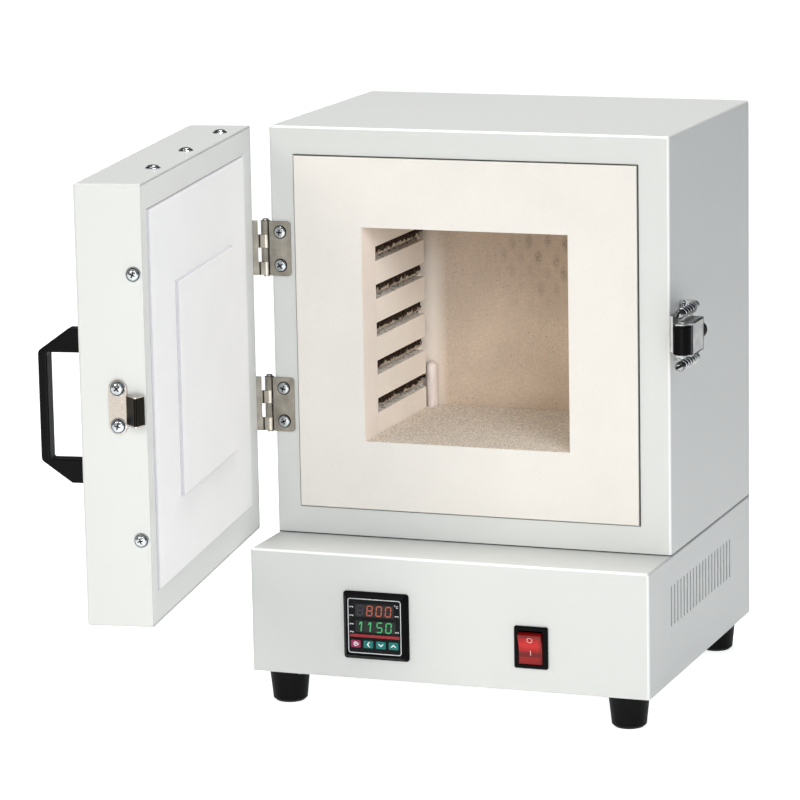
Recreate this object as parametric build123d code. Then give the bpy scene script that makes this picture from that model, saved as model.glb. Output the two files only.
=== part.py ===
from build123d import *
import os
from math import cos, pi, sin, sqrt

os.makedirs("parts", exist_ok=True)

# Benchtop wax burnout oven, in millimetres.
# X points to the right, Y to the back and Z up. The origin is midway between
# the four feet, on the bench. The door is drawn shut and is then swung open
# to the angle in which the oven is shown.

# Cabinets
WIDTH = 300.0
BASE_DEPTH = 266.0
BASE_HEIGHT = 91.0
BODY_HEIGHT = 300.0
LEDGE = 56.0
SHEET = 1.5
EDGE_R = 2.0
FIT = 0.3

# Feet
FOOT_HEIGHT = 25.0
FOOT_TOP_R = 15.0
FOOT_FLOOR_R = 12.3
FOOT_X = 129.0
FOOT_Y = 113.0
FOOT_RECESS_R = 6.0
FOOT_RECESS_DEPTH = 9.0

# Planes that follow from the cabinet sizes
HALF_W = WIDTH / 2
FRONT = -BASE_DEPTH / 2
REAR = BASE_DEPTH / 2
BODY_FRONT = FRONT + LEDGE
BASE_BOTTOM = FOOT_HEIGHT
BASE_TOP = BASE_BOTTOM + BASE_HEIGHT
BODY_TOP = BASE_TOP + BODY_HEIGHT

# Chamber and its boards
CHAMBER_X = -2.0
CHAMBER_Z = 266.0
CHAMBER_W = 156.0
CHAMBER_H = 157.0
CHAMBER_BACK = 66.0
BOARD_SIZE = 258.0
BOARD_PROUD = 2.0
BOARD_BACK = -59.0
WALL_BOARD = 22.0
HEARTH = 6.0
JACKET_BACK = 118.0

# Heater panels: five grooves a side, each holding a coil
GROOVE_COUNT = 5
GROOVE_PITCH = 28.0
GROOVE_R = 5.3
GROOVE_DEPTH = 11.6
PANEL_STEP = 54.0
PANEL_THIN = 14.0
COIL_R = 4.0
COIL_INSET = 6.2
ELEMENT_WIRE_R = 1.0
LEAD_END = 124.0

# Thermocouple, standing up through the floor in the rear left corner
PROBE_X = -77.5
PROBE_Y = 60.3
PROBE_R = 4.5
PROBE_ABOVE_FLOOR = 34.0
PROBE_LOW = 62.0

# Base front: controller and mains switch
CONTROL_X = -53.3
CONTROL_Z = 64.8
CONTROL_SIZE = 49.5
CONTROL_PROUD = 6.0
CONTROL_FACE = 41.5
CONTROL_BODY = 44.6
CONTROL_DEPTH = 75.0
KEY_W = 7.3
KEY_H = 5.4
KEY_PITCH = 9.6
KEY_FIRST_X = -14.4
KEY_Z = -12.9
KEY_TRAVEL = 0.8
SWITCH_X = 63.3
SWITCH_Z = 57.3
SWITCH_W = 24.9
SWITCH_H = 30.6
SWITCH_LIP = 2.5
ROCKER_W = 17.4
ROCKER_HALF = 10.8
ROCKER_TILT = 9.0
ROCKER_AXIS_Y = FRONT + 2.0

# Base sides: ventilation slots
VENT_COUNT = 20
VENT_PITCH = 8.1
VENT_W = 2.6
VENT_H = 30.0
VENT_Z = 79.5

# Power inlet in the rear of the base
INLET_X = 92.0
INLET_Z = 66.0

# Hinges
HINGE_Z = (211.5, 326.5)
HINGE_HEIGHT = 40.0
KNUCKLES = 4
BARREL_R = 3.6
BORE_R = 1.75
PIN_R = 1.7
LEAF = 1.5
LEAF_REACH = 20.4
LEAF_SCREW = 12.6
DOOR_LEAF_REACH = 23.0
DOOR_LEAF_SCREW = 17.0
LEAF_SCREW_Z = 12.2
PIN_X = -HALF_W - 5.0
PIN_Y = BODY_FRONT + BARREL_R - LEAF

# Door
DOOR_OPEN = 81.7
DOOR_W = 300.0
DOOR_T = 45.5
DOOR_BOTTOM = BASE_TOP + 2.5
DOOR_GAP = 7.0
DOOR_SHEET = 1.2
DOOR_LEFT = PIN_X + BARREL_R
DOOR_RIGHT = DOOR_LEFT + DOOR_W
DOOR_INNER = BODY_FRONT - DOOR_GAP
DOOR_OUTER = DOOR_INNER - DOOR_T
FACE_X = (DOOR_LEFT + 27.0, DOOR_LEFT + 285.0)
FACE_Z = (141.0, 397.0)
FACE_RAISE = 4.5
FACE_BOARD = 20.0
PLUG_RAISE = 4.0
PLUG_GAP = 2.6
EDGE_SCREW_Z = (177.9, 356.4)
EDGE_SCREW_DEPTH = 6.2
TOP_SCREW_X = (43.0, 138.5, 225.6)
TOP_SCREW_DEPTH = 11.2

# Door handle
HANDLE_X = DOOR_RIGHT - 28.0
HANDLE_Z = 263.0
HANDLE_W = 13.0
HANDLE_HALF = 52.3
HANDLE_WINDOW = 36.4
HANDLE_OUT = 34.5
HANDLE_GRIP = 6.2
HANDLE_FOOT = 13.5
HANDLE_SCREW = 44.5

# Spring catch on the right side and its strike on the door's free edge
CATCH_Z = 276.0
ROLLER_X = HALF_W + 14.3
ROLLER_Y = BODY_FRONT - 18.0
ROLLER_R = 6.7
ROLLER_H = 20.0
CARRIAGE_Y = BODY_FRONT + 11.0
CARRIAGE_OUT = HALF_W + 21.0
CARRIAGE_EAR = HALF_W + 17.4
CARRIAGE_SHEET = 1.3
FLANGE_Y = BODY_FRONT + 13.0
FLANGE_OUT = HALF_W + 20.0
KNOB_X = HALF_W + 13.6
CATCH_BOLT_X = HALF_W + 13.0
CATCH_BOLT_Z = 18.5
CATCH_BOLT_R = 1.9
CATCH_HEAD_Y = BODY_FRONT - 24.0
CATCH_HEAD = 4.0
SPRING_R = 3.1
SPRING_WIRE_R = 0.5
SPRING_TURNS = 9
STRIKE_Z = 268.0
LIP_Z = (256.0, 276.5)
STRIKE_DEPTH = 19.0
STRIKE_LENGTH = 37.0
STRIKE_SCREW = 12.6
STRIKE_RIDGE_X = DOOR_RIGHT + 9.3
STRIKE_RIDGE_Y = BODY_FRONT - 12.0


# Shared shape helpers
def block(x, y, z):
    """A box between two limits on each axis."""
    centre = Pos((x[0] + x[1]) / 2, (y[0] + y[1]) / 2, (z[0] + z[1]) / 2)
    return centre * Box(x[1] - x[0], y[1] - y[0], z[1] - z[0])


def rod(start, facing, length, radius):
    """A cylinder that starts at a point and runs along a direction."""
    place = Plane(origin=start, z_dir=facing).location
    return place * Cylinder(radius, length, align=(Align.CENTER, Align.CENTER, Align.MIN))


def screw(seat, facing, head_r=4.0, head_h=2.4, shank_r=1.8, shank=8.0, washer_r=0.0):
    """A pan-head screw whose head sits on a seat, with a washer if it has one."""
    place = Plane(origin=seat, z_dir=facing).location
    low = (Align.CENTER, Align.CENTER, Align.MIN)
    head = Cylinder(head_r, head_h, align=low)
    head = fillet(head.edges().sort_by(Axis.Z)[-1], head_h * 0.55)
    if washer_r:
        washer = Cylinder(washer_r, 0.8, align=low)
        head = washer + Pos(0, 0, 0.8) * head
    return place * (head + Pos(0, 0, -shank) * Cylinder(shank_r, shank, align=low))


def save(name, *solids):
    """Writes one sub-part, as one solid or as a group of equal pieces."""
    bodies = [body for piece in solids for body in piece.solids()]
    shape = bodies[0] if len(bodies) == 1 else Compound(children=bodies)
    shape.label = name
    export_step(shape, f"parts/{name}.step")
    print(name, "volume", round(shape.volume, 1))


def swing(shape):
    """Turns a door piece from shut to the open angle shown."""
    return shape.rotate(Axis((PIN_X, PIN_Y, 0), (0, 0, 1)), -DOOR_OPEN)


def mirrored(shape):
    """The same piece on the other side of the chamber."""
    return mirror(shape, Plane.YZ.offset(CHAMBER_X))


# Base cabinet, its covers and its feet
def base_cabinet():
    shell = block((-HALF_W, HALF_W), (FRONT, REAR), (BASE_BOTTOM, BASE_TOP))
    front_edges = shell.edges().filter_by(Axis.Z).group_by(Axis.Y)[0]
    top_edges = shell.edges().group_by(Axis.Z)[-1].filter_by(Axis.Y)
    top_front = shell.edges().filter_by(Axis.X).group_by(Axis.Z)[-1].group_by(Axis.Y)[0]
    shell = fillet(front_edges + top_edges + top_front, EDGE_R)
    inside = HALF_W - SHEET
    shell -= block((-inside, inside), (FRONT + SHEET, REAR + 1), (BASE_BOTTOM - 1, BASE_TOP - SHEET))
    half = CONTROL_BODY / 2 + 0.2
    shell -= block(
        (CONTROL_X - half, CONTROL_X + half), (FRONT - 1, FRONT + 3), (CONTROL_Z - half, CONTROL_Z + half)
    )
    shell -= block((SWITCH_X - 11, SWITCH_X + 11), (FRONT - 1, FRONT + 3), (SWITCH_Z - 14, SWITCH_Z + 14))
    vent = SlotOverall(VENT_H, VENT_W, rotation=90)
    first = -VENT_PITCH * (VENT_COUNT - 1) / 2
    for i in range(VENT_COUNT):
        across = Plane(origin=(-HALF_W - 1, first + i * VENT_PITCH, VENT_Z), x_dir=(0, 1, 0), z_dir=(1, 0, 0))
        shell -= extrude(across * vent, 3)
        shell -= extrude(across.offset(WIDTH - 1) * vent, 3)
    shell -= rod((PROBE_X, PROBE_Y, BASE_TOP - 3), (0, 0, 1), 4, PROBE_R + 0.6)
    for x, y in body_bolt_places():
        shell -= rod((x, y, BASE_TOP - 3), (0, 0, 1), 4, 2.8)
    for x in (-118.0, 118.0):
        shell -= rod((x, 90.0, BASE_TOP - 3), (0, 0, 1), 4, 6.0)
    return shell


def body_bolt_places():
    return [(x, y) for x in (-118.0, 118.0) for y in (-50.0, 105.0)]


def base_bottom_plate():
    inside = HALF_W - SHEET - FIT
    plate = block((-inside, inside), (FRONT + SHEET + FIT, REAR - SHEET - FIT), (BASE_BOTTOM, BASE_BOTTOM + SHEET))
    for x in (-inside, inside - SHEET):
        plate += block((x, x + SHEET), (FRONT + 12, REAR - 14), (BASE_BOTTOM, BASE_BOTTOM + 12))
    for y in (FRONT + SHEET + FIT, REAR - 2 * SHEET - FIT):
        plate += block((-inside + 16, inside - 16), (y, y + SHEET), (BASE_BOTTOM, BASE_BOTTOM + 12))
    for x, y in foot_places():
        plate -= rod((x, y, BASE_BOTTOM - 1), (0, 0, 1), 4, 2.3)
    for x, y in bottom_screw_places():
        plate -= rod((x, y, BASE_BOTTOM - 1), (0, 0, 1), 4, 2.0)
    for i in range(9):
        slot = Plane.XY.offset(BASE_BOTTOM - 1) * Pos(-56 + 14 * i, 20, 0) * SlotOverall(60, 4, rotation=90)
        plate -= extrude(slot, 4)
    return plate


def foot_places():
    return [(x, y) for x in (-FOOT_X, FOOT_X) for y in (-FOOT_Y, FOOT_Y)]


def bottom_screw_places():
    return [(x, y) for x in (-116.0, 0.0, 116.0) for y in (FRONT + 7.0, REAR - 7.0)]


def rubber_foot(x, y):
    taper = (FOOT_TOP_R - FOOT_FLOOR_R) / FOOT_HEIGHT
    with BuildPart() as foot:
        with BuildSketch(Plane.XZ):
            with BuildLine():
                Polyline(
                    (0, FOOT_HEIGHT), (FOOT_TOP_R, FOOT_HEIGHT), (FOOT_FLOOR_R + 2 * taper, 2),
                    (FOOT_FLOOR_R - 2, 0), (0, 0), (0, FOOT_HEIGHT),
                )
            make_face()
        revolve(axis=Axis.Z)
    foot = foot.part
    foot -= rod((0, 0, -1), (0, 0, 1), FOOT_RECESS_DEPTH + 1, FOOT_RECESS_R)
    foot -= rod((0, 0, -1), (0, 0, 1), FOOT_RECESS_DEPTH + 5.5, 4.6)
    foot -= rod((0, 0, 0), (0, 0, 1), FOOT_HEIGHT + 1, 2.3)
    return Pos(x, y, 0) * foot


def base_rear_panel():
    inside = HALF_W - SHEET - FIT
    low, high = BASE_BOTTOM + SHEET + FIT, BASE_TOP - SHEET - FIT
    panel = block((-inside, inside), (REAR - SHEET, REAR), (low, high))
    panel += block((-inside + 6, inside - 6), (REAR - 10, REAR), (high - SHEET, high))
    panel -= block((INLET_X - 13.7, INLET_X + 13.7), (REAR - 3, REAR + 1), (INLET_Z - 10, INLET_Z + 10))
    for x in (INLET_X - 20, INLET_X + 20):
        panel -= rod((x, REAR - 3, INLET_Z), (0, 1, 0), 4, 1.9)
    for i in range(14):
        slot = Plane.XZ.offset(-REAR - 1) * Pos(-100 + 9 * i, 68, 0) * SlotOverall(36, 3.2, rotation=90)
        panel -= extrude(slot, 4)
    for x, z in rear_screw_places(low, high, inside):
        panel -= rod((x, REAR - 3, z), (0, 1, 0), 4, 2.0)
    return panel


def rear_screw_places(low, high, inside):
    return [(x, z) for x in (-inside + 9, inside - 9) for z in (low + 8, high - 16)]


def base_screws():
    inside = HALF_W - SHEET - FIT
    low, high = BASE_BOTTOM + SHEET + FIT, BASE_TOP - SHEET - FIT
    under = [screw((x, y, BASE_BOTTOM), (0, 0, -1), head_r=3.2, head_h=2.0, shank_r=1.5) for x, y in bottom_screw_places()]
    behind = [
        screw((x, REAR, z), (0, 1, 0), head_r=3.2, head_h=2.0, shank_r=1.5)
        for x, z in rear_screw_places(low, high, inside)
    ]
    return under + behind


def power_inlet():
    flange = block((INLET_X - 25, INLET_X + 25), (REAR, REAR + 3), (INLET_Z - 11.5, INLET_Z + 11.5))
    flange = fillet(flange.edges().filter_by(Axis.Y), 4)
    body = block((INLET_X - 13.4, INLET_X + 13.4), (REAR - 24, REAR + 1), (INLET_Z - 9.7, INLET_Z + 9.7))
    body = chamfer(body.edges().filter_by(Axis.Y).group_by(Axis.Z)[-1], 4)
    inlet = flange + body
    cavity = block((INLET_X - 12, INLET_X + 12), (REAR - 16, REAR + 4), (INLET_Z - 8.2, INLET_Z + 8.2))
    inlet -= chamfer(cavity.edges().filter_by(Axis.Y).group_by(Axis.Z)[-1], 3.5)
    for dx, dz in ((-7, -2), (0, 2), (7, -2)):
        inlet += block(
            (INLET_X + dx - 1, INLET_X + dx + 1), (REAR - 17, REAR - 4), (INLET_Z + dz - 2, INLET_Z + dz + 2)
        )
        inlet += block(
            (INLET_X + dx - 0.4, INLET_X + dx + 0.4), (REAR - 33, REAR - 24), (INLET_Z + dz - 2.4, INLET_Z + dz + 2.4)
        )
    for x in (INLET_X - 20, INLET_X + 20):
        inlet -= rod((x, REAR - 1, INLET_Z), (0, 1, 0), 6, 1.9)
    return inlet


# Parts inside the base
def relay_heatsink():
    sink = block((20, 100), (-20, 60), (BASE_BOTTOM + SHEET, BASE_BOTTOM + SHEET + 5))
    for i in range(9):
        x = 20 + i * 9.7
        if i not in (3, 4, 5):
            sink += block((x, x + 2.4), (-20, 60), (BASE_BOTTOM + SHEET + 5, BASE_BOTTOM + SHEET + 22))
    return sink


def solid_state_relay():
    low = BASE_BOTTOM + SHEET + 5
    relay = block((53, 67), (-9, 49), (low, low + 4))
    relay = block((45.3, 67.8), (-9, 49), (low, low + 24))
    relay = chamfer(relay.edges().group_by(Axis.Z)[-1], 1.5)
    for y in (-3, 43):
        relay -= rod((50.5, y, low + 18), (0, 0, 1), 7, 3.2)
        relay -= rod((62.5, y, low + 18), (0, 0, 1), 7, 3.2)
        relay += rod((50.5, y, low + 17), (0, 0, 1), 4, 2.6)
        relay += rod((62.5, y, low + 17), (0, 0, 1), 4, 2.6)
    return relay


def terminal_strip():
    low = BASE_BOTTOM + SHEET
    strip = block((-104, -24), (90, 114), (low, low + 20))
    for i in range(6):
        x = -97.5 + i * 13.4
        strip -= block((x - 5, x + 5), (89, 96), (low + 6, low + 21))
        strip -= block((x - 5, x + 5), (108, 115), (low + 6, low + 21))
        strip -= rod((x, 102, low + 14), (0, 0, 1), 7, 3.4)
        strip += rod((x, 102, low + 13), (0, 0, 1), 4, 2.8)
    return strip


# Controller, its keys and the mains switch
def controller_bezel():
    """A square frame whose sides slope in towards its face, with wells for the face and the keys."""
    place = Plane(origin=(CONTROL_X, FRONT, CONTROL_Z), x_dir=(1, 0, 0), z_dir=(0, -1, 0))
    flange = extrude(place * RectangleRounded(CONTROL_SIZE, CONTROL_SIZE, 2.2), 1.2)
    wide = place.offset(1.2) * RectangleRounded(CONTROL_SIZE - 0.6, CONTROL_SIZE - 0.6, 2.0)
    narrow = place.offset(CONTROL_PROUD) * RectangleRounded(CONTROL_FACE + 1.4, CONTROL_FACE + 1.4, 1.6)
    bezel = flange + loft([wide.faces()[0], narrow.faces()[0]], ruled=True)
    half = CONTROL_FACE / 2 + 0.15
    bezel -= block(
        (CONTROL_X - half, CONTROL_X + half), (FRONT - CONTROL_PROUD - 1, FRONT - 3),
        (CONTROL_Z - half, CONTROL_Z + half),
    )
    for x in key_centres():
        bezel -= block(
            (x - KEY_W / 2 - 0.9, x + KEY_W / 2 + 0.9), (FRONT - 4, FRONT - 0.8),
            (CONTROL_Z + KEY_Z - KEY_H / 2 - 0.9, CONTROL_Z + KEY_Z + KEY_H / 2 + 0.9),
        )
    return bezel


def key_centres():
    return [CONTROL_X + KEY_FIRST_X + i * KEY_PITCH for i in range(4)]


def controller_faceplate():
    half = CONTROL_FACE / 2
    plate = block((CONTROL_X - half, CONTROL_X + half), (FRONT - 4.4, FRONT - 3), (CONTROL_Z - half, CONTROL_Z + half))
    for x in key_centres():
        plate -= block(
            (x - KEY_W / 2 - 0.2, x + KEY_W / 2 + 0.2), (FRONT - 5, FRONT - 2),
            (CONTROL_Z + KEY_Z - KEY_H / 2 - 0.2, CONTROL_Z + KEY_Z + KEY_H / 2 + 0.2),
        )
    return plate


def controller_key(x):
    low, high = CONTROL_Z + KEY_Z - KEY_H / 2, CONTROL_Z + KEY_Z + KEY_H / 2
    cap = block((x - KEY_W / 2, x + KEY_W / 2), (FRONT - 5.2, FRONT - 2.8), (low, high))
    cap = fillet(cap.edges().filter_by(Axis.Y), 0.8)
    rim = block((x - KEY_W / 2 - 0.6, x + KEY_W / 2 + 0.6), (FRONT - 2.8, FRONT - 1.9), (low - 0.6, high + 0.6))
    return cap + rim


def controller_housing():
    half = CONTROL_BODY / 2
    housing = block(
        (CONTROL_X - half, CONTROL_X + half), (FRONT, FRONT + CONTROL_DEPTH), (CONTROL_Z - half, CONTROL_Z + half)
    )
    back = FRONT + CONTROL_DEPTH
    for side in (-1, 1):
        x = CONTROL_X + side * 14
        housing -= block((x - 6, x + 6), (back - 8, back + 1), (CONTROL_Z - 19, CONTROL_Z + 19))
        for i in range(4):
            z = CONTROL_Z - 14.2 + i * 9.5
            housing += rod((x, back - 9, z), (0, 1, 0), 5, 2.6)
    return housing


def controller_clamp():
    inner = CONTROL_BODY / 2 + 0.2
    outer = 27.0
    back = FRONT + SHEET
    frame = block((CONTROL_X - outer, CONTROL_X + outer), (back, back + 9), (CONTROL_Z - outer, CONTROL_Z + outer))
    frame = fillet(frame.edges().filter_by(Axis.Y), 3)
    frame -= block((CONTROL_X - inner, CONTROL_X + inner), (back - 1, back + 10), (CONTROL_Z - inner, CONTROL_Z + inner))
    frame -= block((CONTROL_X - 18, CONTROL_X + 18), (back - 1, back + 6), (CONTROL_Z - outer - 1, CONTROL_Z + outer + 1))
    return frame


def switch_housing():
    lip = block(
        (SWITCH_X - SWITCH_W / 2, SWITCH_X + SWITCH_W / 2), (FRONT - SWITCH_LIP, FRONT),
        (SWITCH_Z - SWITCH_H / 2, SWITCH_Z + SWITCH_H / 2),
    )
    lip = fillet(lip.edges().filter_by(Axis.Y), 1.2)
    lip = chamfer(lip.edges().group_by(Axis.Y)[0], 0.9)
    body = block((SWITCH_X - 10.8, SWITCH_X + 10.8), (FRONT - 1, FRONT + 24), (SWITCH_Z - 13.8, SWITCH_Z + 13.8))
    housing = lip + body
    well_w = ROCKER_W / 2 + 0.4
    housing -= block((SWITCH_X - well_w, SWITCH_X + well_w), (FRONT - 4, FRONT + 9), (SWITCH_Z - 12.3, SWITCH_Z + 12.3))
    housing -= rod((SWITCH_X - 10.2, ROCKER_AXIS_Y, SWITCH_Z), (1, 0, 0), 20.4, 1.35)
    for dx in (-5, 5):
        for dz in (-7, 7):
            housing += block(
                (SWITCH_X + dx - 0.4, SWITCH_X + dx + 0.4), (FRONT + 24, FRONT + 32),
                (SWITCH_Z + dz - 3.1, SWITCH_Z + dz + 3.1),
            )
    return housing


def switch_rocker():
    """A dished paddle on a cross axle, drawn level and then tipped so that its lower half is in."""
    crown, dish, tail = 6.5, 4.7, 3.5
    with BuildPart() as rocker:
        with BuildSketch(Plane.YZ.offset(-ROCKER_W / 2)):
            with BuildLine():
                ThreePointArc((-crown, ROCKER_HALF), (-dish, 0), (-crown, -ROCKER_HALF))
                Line((-crown, -ROCKER_HALF), (-1.5, -ROCKER_HALF - 0.6))
                Line((-1.5, -ROCKER_HALF - 0.6), (tail, -3.2))
                Line((tail, -3.2), (tail, 3.2))
                Line((tail, 3.2), (-1.5, ROCKER_HALF + 0.6))
                Line((-1.5, ROCKER_HALF + 0.6), (-crown, ROCKER_HALF))
            make_face()
        extrude(amount=ROCKER_W)
    paddle = rocker.part + rod((-10.0, 0, 0), (1, 0, 0), 20.0, 1.3)
    return Pos(SWITCH_X, ROCKER_AXIS_Y, SWITCH_Z) * Rot(ROCKER_TILT, 0, 0) * paddle


# Body cabinet
def body_shell():
    shell = block((-HALF_W, HALF_W), (BODY_FRONT, REAR), (BASE_TOP, BODY_TOP))
    front_edges = shell.edges().filter_by(Axis.Z).group_by(Axis.Y)[0]
    top_edges = shell.edges().group_by(Axis.Z)[-1].filter_by(Axis.Y)
    top_front = shell.edges().filter_by(Axis.X).group_by(Axis.Z)[-1].group_by(Axis.Y)[0]
    shell = fillet(front_edges + top_edges + top_front, EDGE_R)
    inside = HALF_W - SHEET
    shell -= block((-inside, inside), (BODY_FRONT + SHEET, REAR + 1), (BASE_TOP + SHEET, BODY_TOP - SHEET))
    half = BOARD_SIZE / 2 + 0.8
    shell -= block(
        (CHAMBER_X - half, CHAMBER_X + half), (BODY_FRONT - 1, BODY_FRONT + 3), (CHAMBER_Z - half, CHAMBER_Z + half)
    )
    shell -= rod((PROBE_X, PROBE_Y, BASE_TOP - 1), (0, 0, 1), 4, PROBE_R + 0.6)
    for x, y in body_bolt_places():
        shell -= rod((x, y, BASE_TOP - 1), (0, 0, 1), 4, 2.8)
    for x in (-118.0, 118.0):
        shell -= rod((x, 90.0, BASE_TOP - 1), (0, 0, 1), 4, 6.0)
    for dy, dz in catch_screw_places():
        shell -= rod((HALF_W - 3, BODY_FRONT + dy, CATCH_Z + dz), (1, 0, 0), 4, 1.7)
    for z in leaf_screw_heights():
        shell -= rod((PIN_X + LEAF_SCREW, BODY_FRONT - 1, z), (0, 1, 0), 4, 1.7)
    return shell


def body_rear_panel():
    inside = HALF_W - SHEET - FIT
    low, high = BASE_TOP + SHEET + FIT, BODY_TOP - SHEET - FIT
    panel = block((-inside, inside), (REAR - SHEET, REAR), (low, high))
    for z in (low, high - SHEET):
        panel += block((-inside + 8, inside - 8), (REAR - 10, REAR), (z, z + SHEET))
    for row in (175.0, 357.0):
        for i in range(12):
            slot = Plane.XZ.offset(-REAR - 1) * Pos(-66 + 12 * i, row, 0) * SlotOverall(30, 3.2, rotation=90)
            panel -= extrude(slot, 4)
    for x, z in panel_screw_places():
        panel -= rod((x, REAR - 3, z), (0, 1, 0), 4, 2.0)
    return panel


def panel_screw_places():
    edge = HALF_W - 9.0
    return [(x, z) for x in (-edge, 0.0, edge) for z in (BASE_TOP + 14.0, BODY_TOP - 14.0)] + [
        (-edge, CHAMBER_Z), (edge, CHAMBER_Z)
    ]


def body_bolt(x, y):
    bolt = rod((x, y, BASE_TOP - SHEET - 4), (0, 0, 1), 4, 4.2)
    return bolt + rod((x, y, BASE_TOP - SHEET), (0, 0, 1), 10, 2.5) + rod((x, y, BASE_TOP + SHEET), (0, 0, 1), 4, 4.4)


# Chamber: boards, heater panels, hearth and jacket
def chamber_limits():
    left, right = CHAMBER_X - CHAMBER_W / 2, CHAMBER_X + CHAMBER_W / 2
    return left, right, CHAMBER_Z - CHAMBER_H / 2, CHAMBER_Z + CHAMBER_H / 2


def front_board():
    left, right, low, high = chamber_limits()
    half = BOARD_SIZE / 2
    board = block(
        (CHAMBER_X - half, CHAMBER_X + half), (BODY_FRONT - BOARD_PROUD, BOARD_BACK), (CHAMBER_Z - half, CHAMBER_Z + half)
    )
    board = fillet(board.edges().group_by(Axis.Y)[0], 1.0)
    board -= block((left, right), (BODY_FRONT - 5, BOARD_BACK + 1), (low, high))
    return board


def groove_heights():
    middle = (GROOVE_COUNT - 1) / 2
    return [CHAMBER_Z - 1.5 + (i - middle) * GROOVE_PITCH for i in range(GROOVE_COUNT)]


def heater_panel():
    """The left panel: five round-bottomed grooves that open to the chamber, and a thinner tail."""
    left, right, low, high = chamber_limits()
    panel = block((left - WALL_BOARD, left), (BOARD_BACK, PANEL_STEP), (low, high))
    panel += block((left - WALL_BOARD, left - WALL_BOARD + PANEL_THIN), (PANEL_STEP, CHAMBER_BACK), (low, high))
    for z in groove_heights():
        floor_x = left - GROOVE_DEPTH + GROOVE_R
        panel -= block((floor_x, left + 1), (BOARD_BACK - 1, PANEL_STEP + 1), (z - GROOVE_R, z + GROOVE_R))
        panel -= rod((floor_x, BOARD_BACK - 1, z), (0, 1, 0), PANEL_STEP - BOARD_BACK + 2, GROOVE_R)
    panel -= block((left - 0.6, left + 1), (BOARD_BACK - 1, BOARD_BACK + 0.6), (low - 1, high + 1))
    heights = groove_heights()
    for i in (1, 3):
        panel -= block((left - 8.2, left - 4.2), (BOARD_BACK - 1, BOARD_BACK + 6), (heights[i - 1], heights[i]))
    return panel


def heating_coil():
    """The left element: five coils in series, with its two tails led out at the back."""
    left = chamber_limits()[0]
    x = left - COIL_INSET
    start, stop = BOARD_BACK + 5, PANEL_STEP - 2
    heights = groove_heights()
    element = None
    for z in heights:
        turn = rod((x, start, z), (0, 1, 0), stop - start, COIL_R)
        element = turn if element is None else element + turn
    for i in range(GROOVE_COUNT - 1):
        at_front = i % 2 == 0
        y = start - 2.5 if at_front else stop + 3.5
        link = rod((x, y, heights[i]), (0, 0, 1), GROOVE_PITCH, ELEMENT_WIRE_R)
        for z in (heights[i], heights[i + 1]):
            near = y if at_front else stop - 1
            reach = start + 1 - y if at_front else y - stop + 1
            link += rod((x, near, z), (0, 1, 0), reach, ELEMENT_WIRE_R)
            link += Pos(x, y, z) * Sphere(ELEMENT_WIRE_R)
        element += link
    for z in (heights[0], heights[-1]):
        element += rod((x, stop - 1, z), (0, 1, 0), LEAD_END - stop + 1, ELEMENT_WIRE_R)
    return element


def lead_holes(radius, start, length):
    """Four drillings for the element tails, for cutting out of the boards behind the chamber."""
    left = chamber_limits()[0]
    heights = groove_heights()
    holes = None
    for x in (left - COIL_INSET, 2 * CHAMBER_X - left + COIL_INSET):
        for z in (heights[0], heights[-1]):
            hole = rod((x, start, z), (0, 1, 0), length, radius)
            holes = hole if holes is None else holes + hole
    return holes


def probe_hole(low, high, extra=0.4):
    return rod((PROBE_X, PROBE_Y, low), (0, 0, 1), high - low, PROBE_R + extra)


def roof_board():
    left, right, low, high = chamber_limits()
    return block((left - WALL_BOARD, right + WALL_BOARD), (BOARD_BACK, CHAMBER_BACK), (high, high + WALL_BOARD))


def floor_board():
    left, right, low, high = chamber_limits()
    board = block((left - WALL_BOARD, right + WALL_BOARD), (BOARD_BACK, CHAMBER_BACK), (low - WALL_BOARD, low))
    outline = hearth_outline(0.0)
    board -= outline
    return board - probe_hole(low - WALL_BOARD - 1, low + 1)


def hearth_outline(gap):
    left, right, low, high = chamber_limits()
    widest = WALL_BOARD - PANEL_THIN
    slab = block((left + gap, right - gap), (BOARD_BACK + gap, CHAMBER_BACK - gap), (low - HEARTH, low))
    slab += block(
        (left - widest + gap, right + widest - gap), (PANEL_STEP + gap, CHAMBER_BACK - gap), (low - HEARTH, low)
    )
    return slab


def hearth_plate():
    low = chamber_limits()[2]
    return hearth_outline(0.4) - probe_hole(low - HEARTH - 1, low + 1)


def back_board():
    left, right, low, high = chamber_limits()
    board = block(
        (left - WALL_BOARD, right + WALL_BOARD), (CHAMBER_BACK, CHAMBER_BACK + WALL_BOARD),
        (low - WALL_BOARD, high + WALL_BOARD),
    )
    return board - lead_holes(ELEMENT_WIRE_R + 0.5, CHAMBER_BACK - 1, WALL_BOARD + 2)


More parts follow.
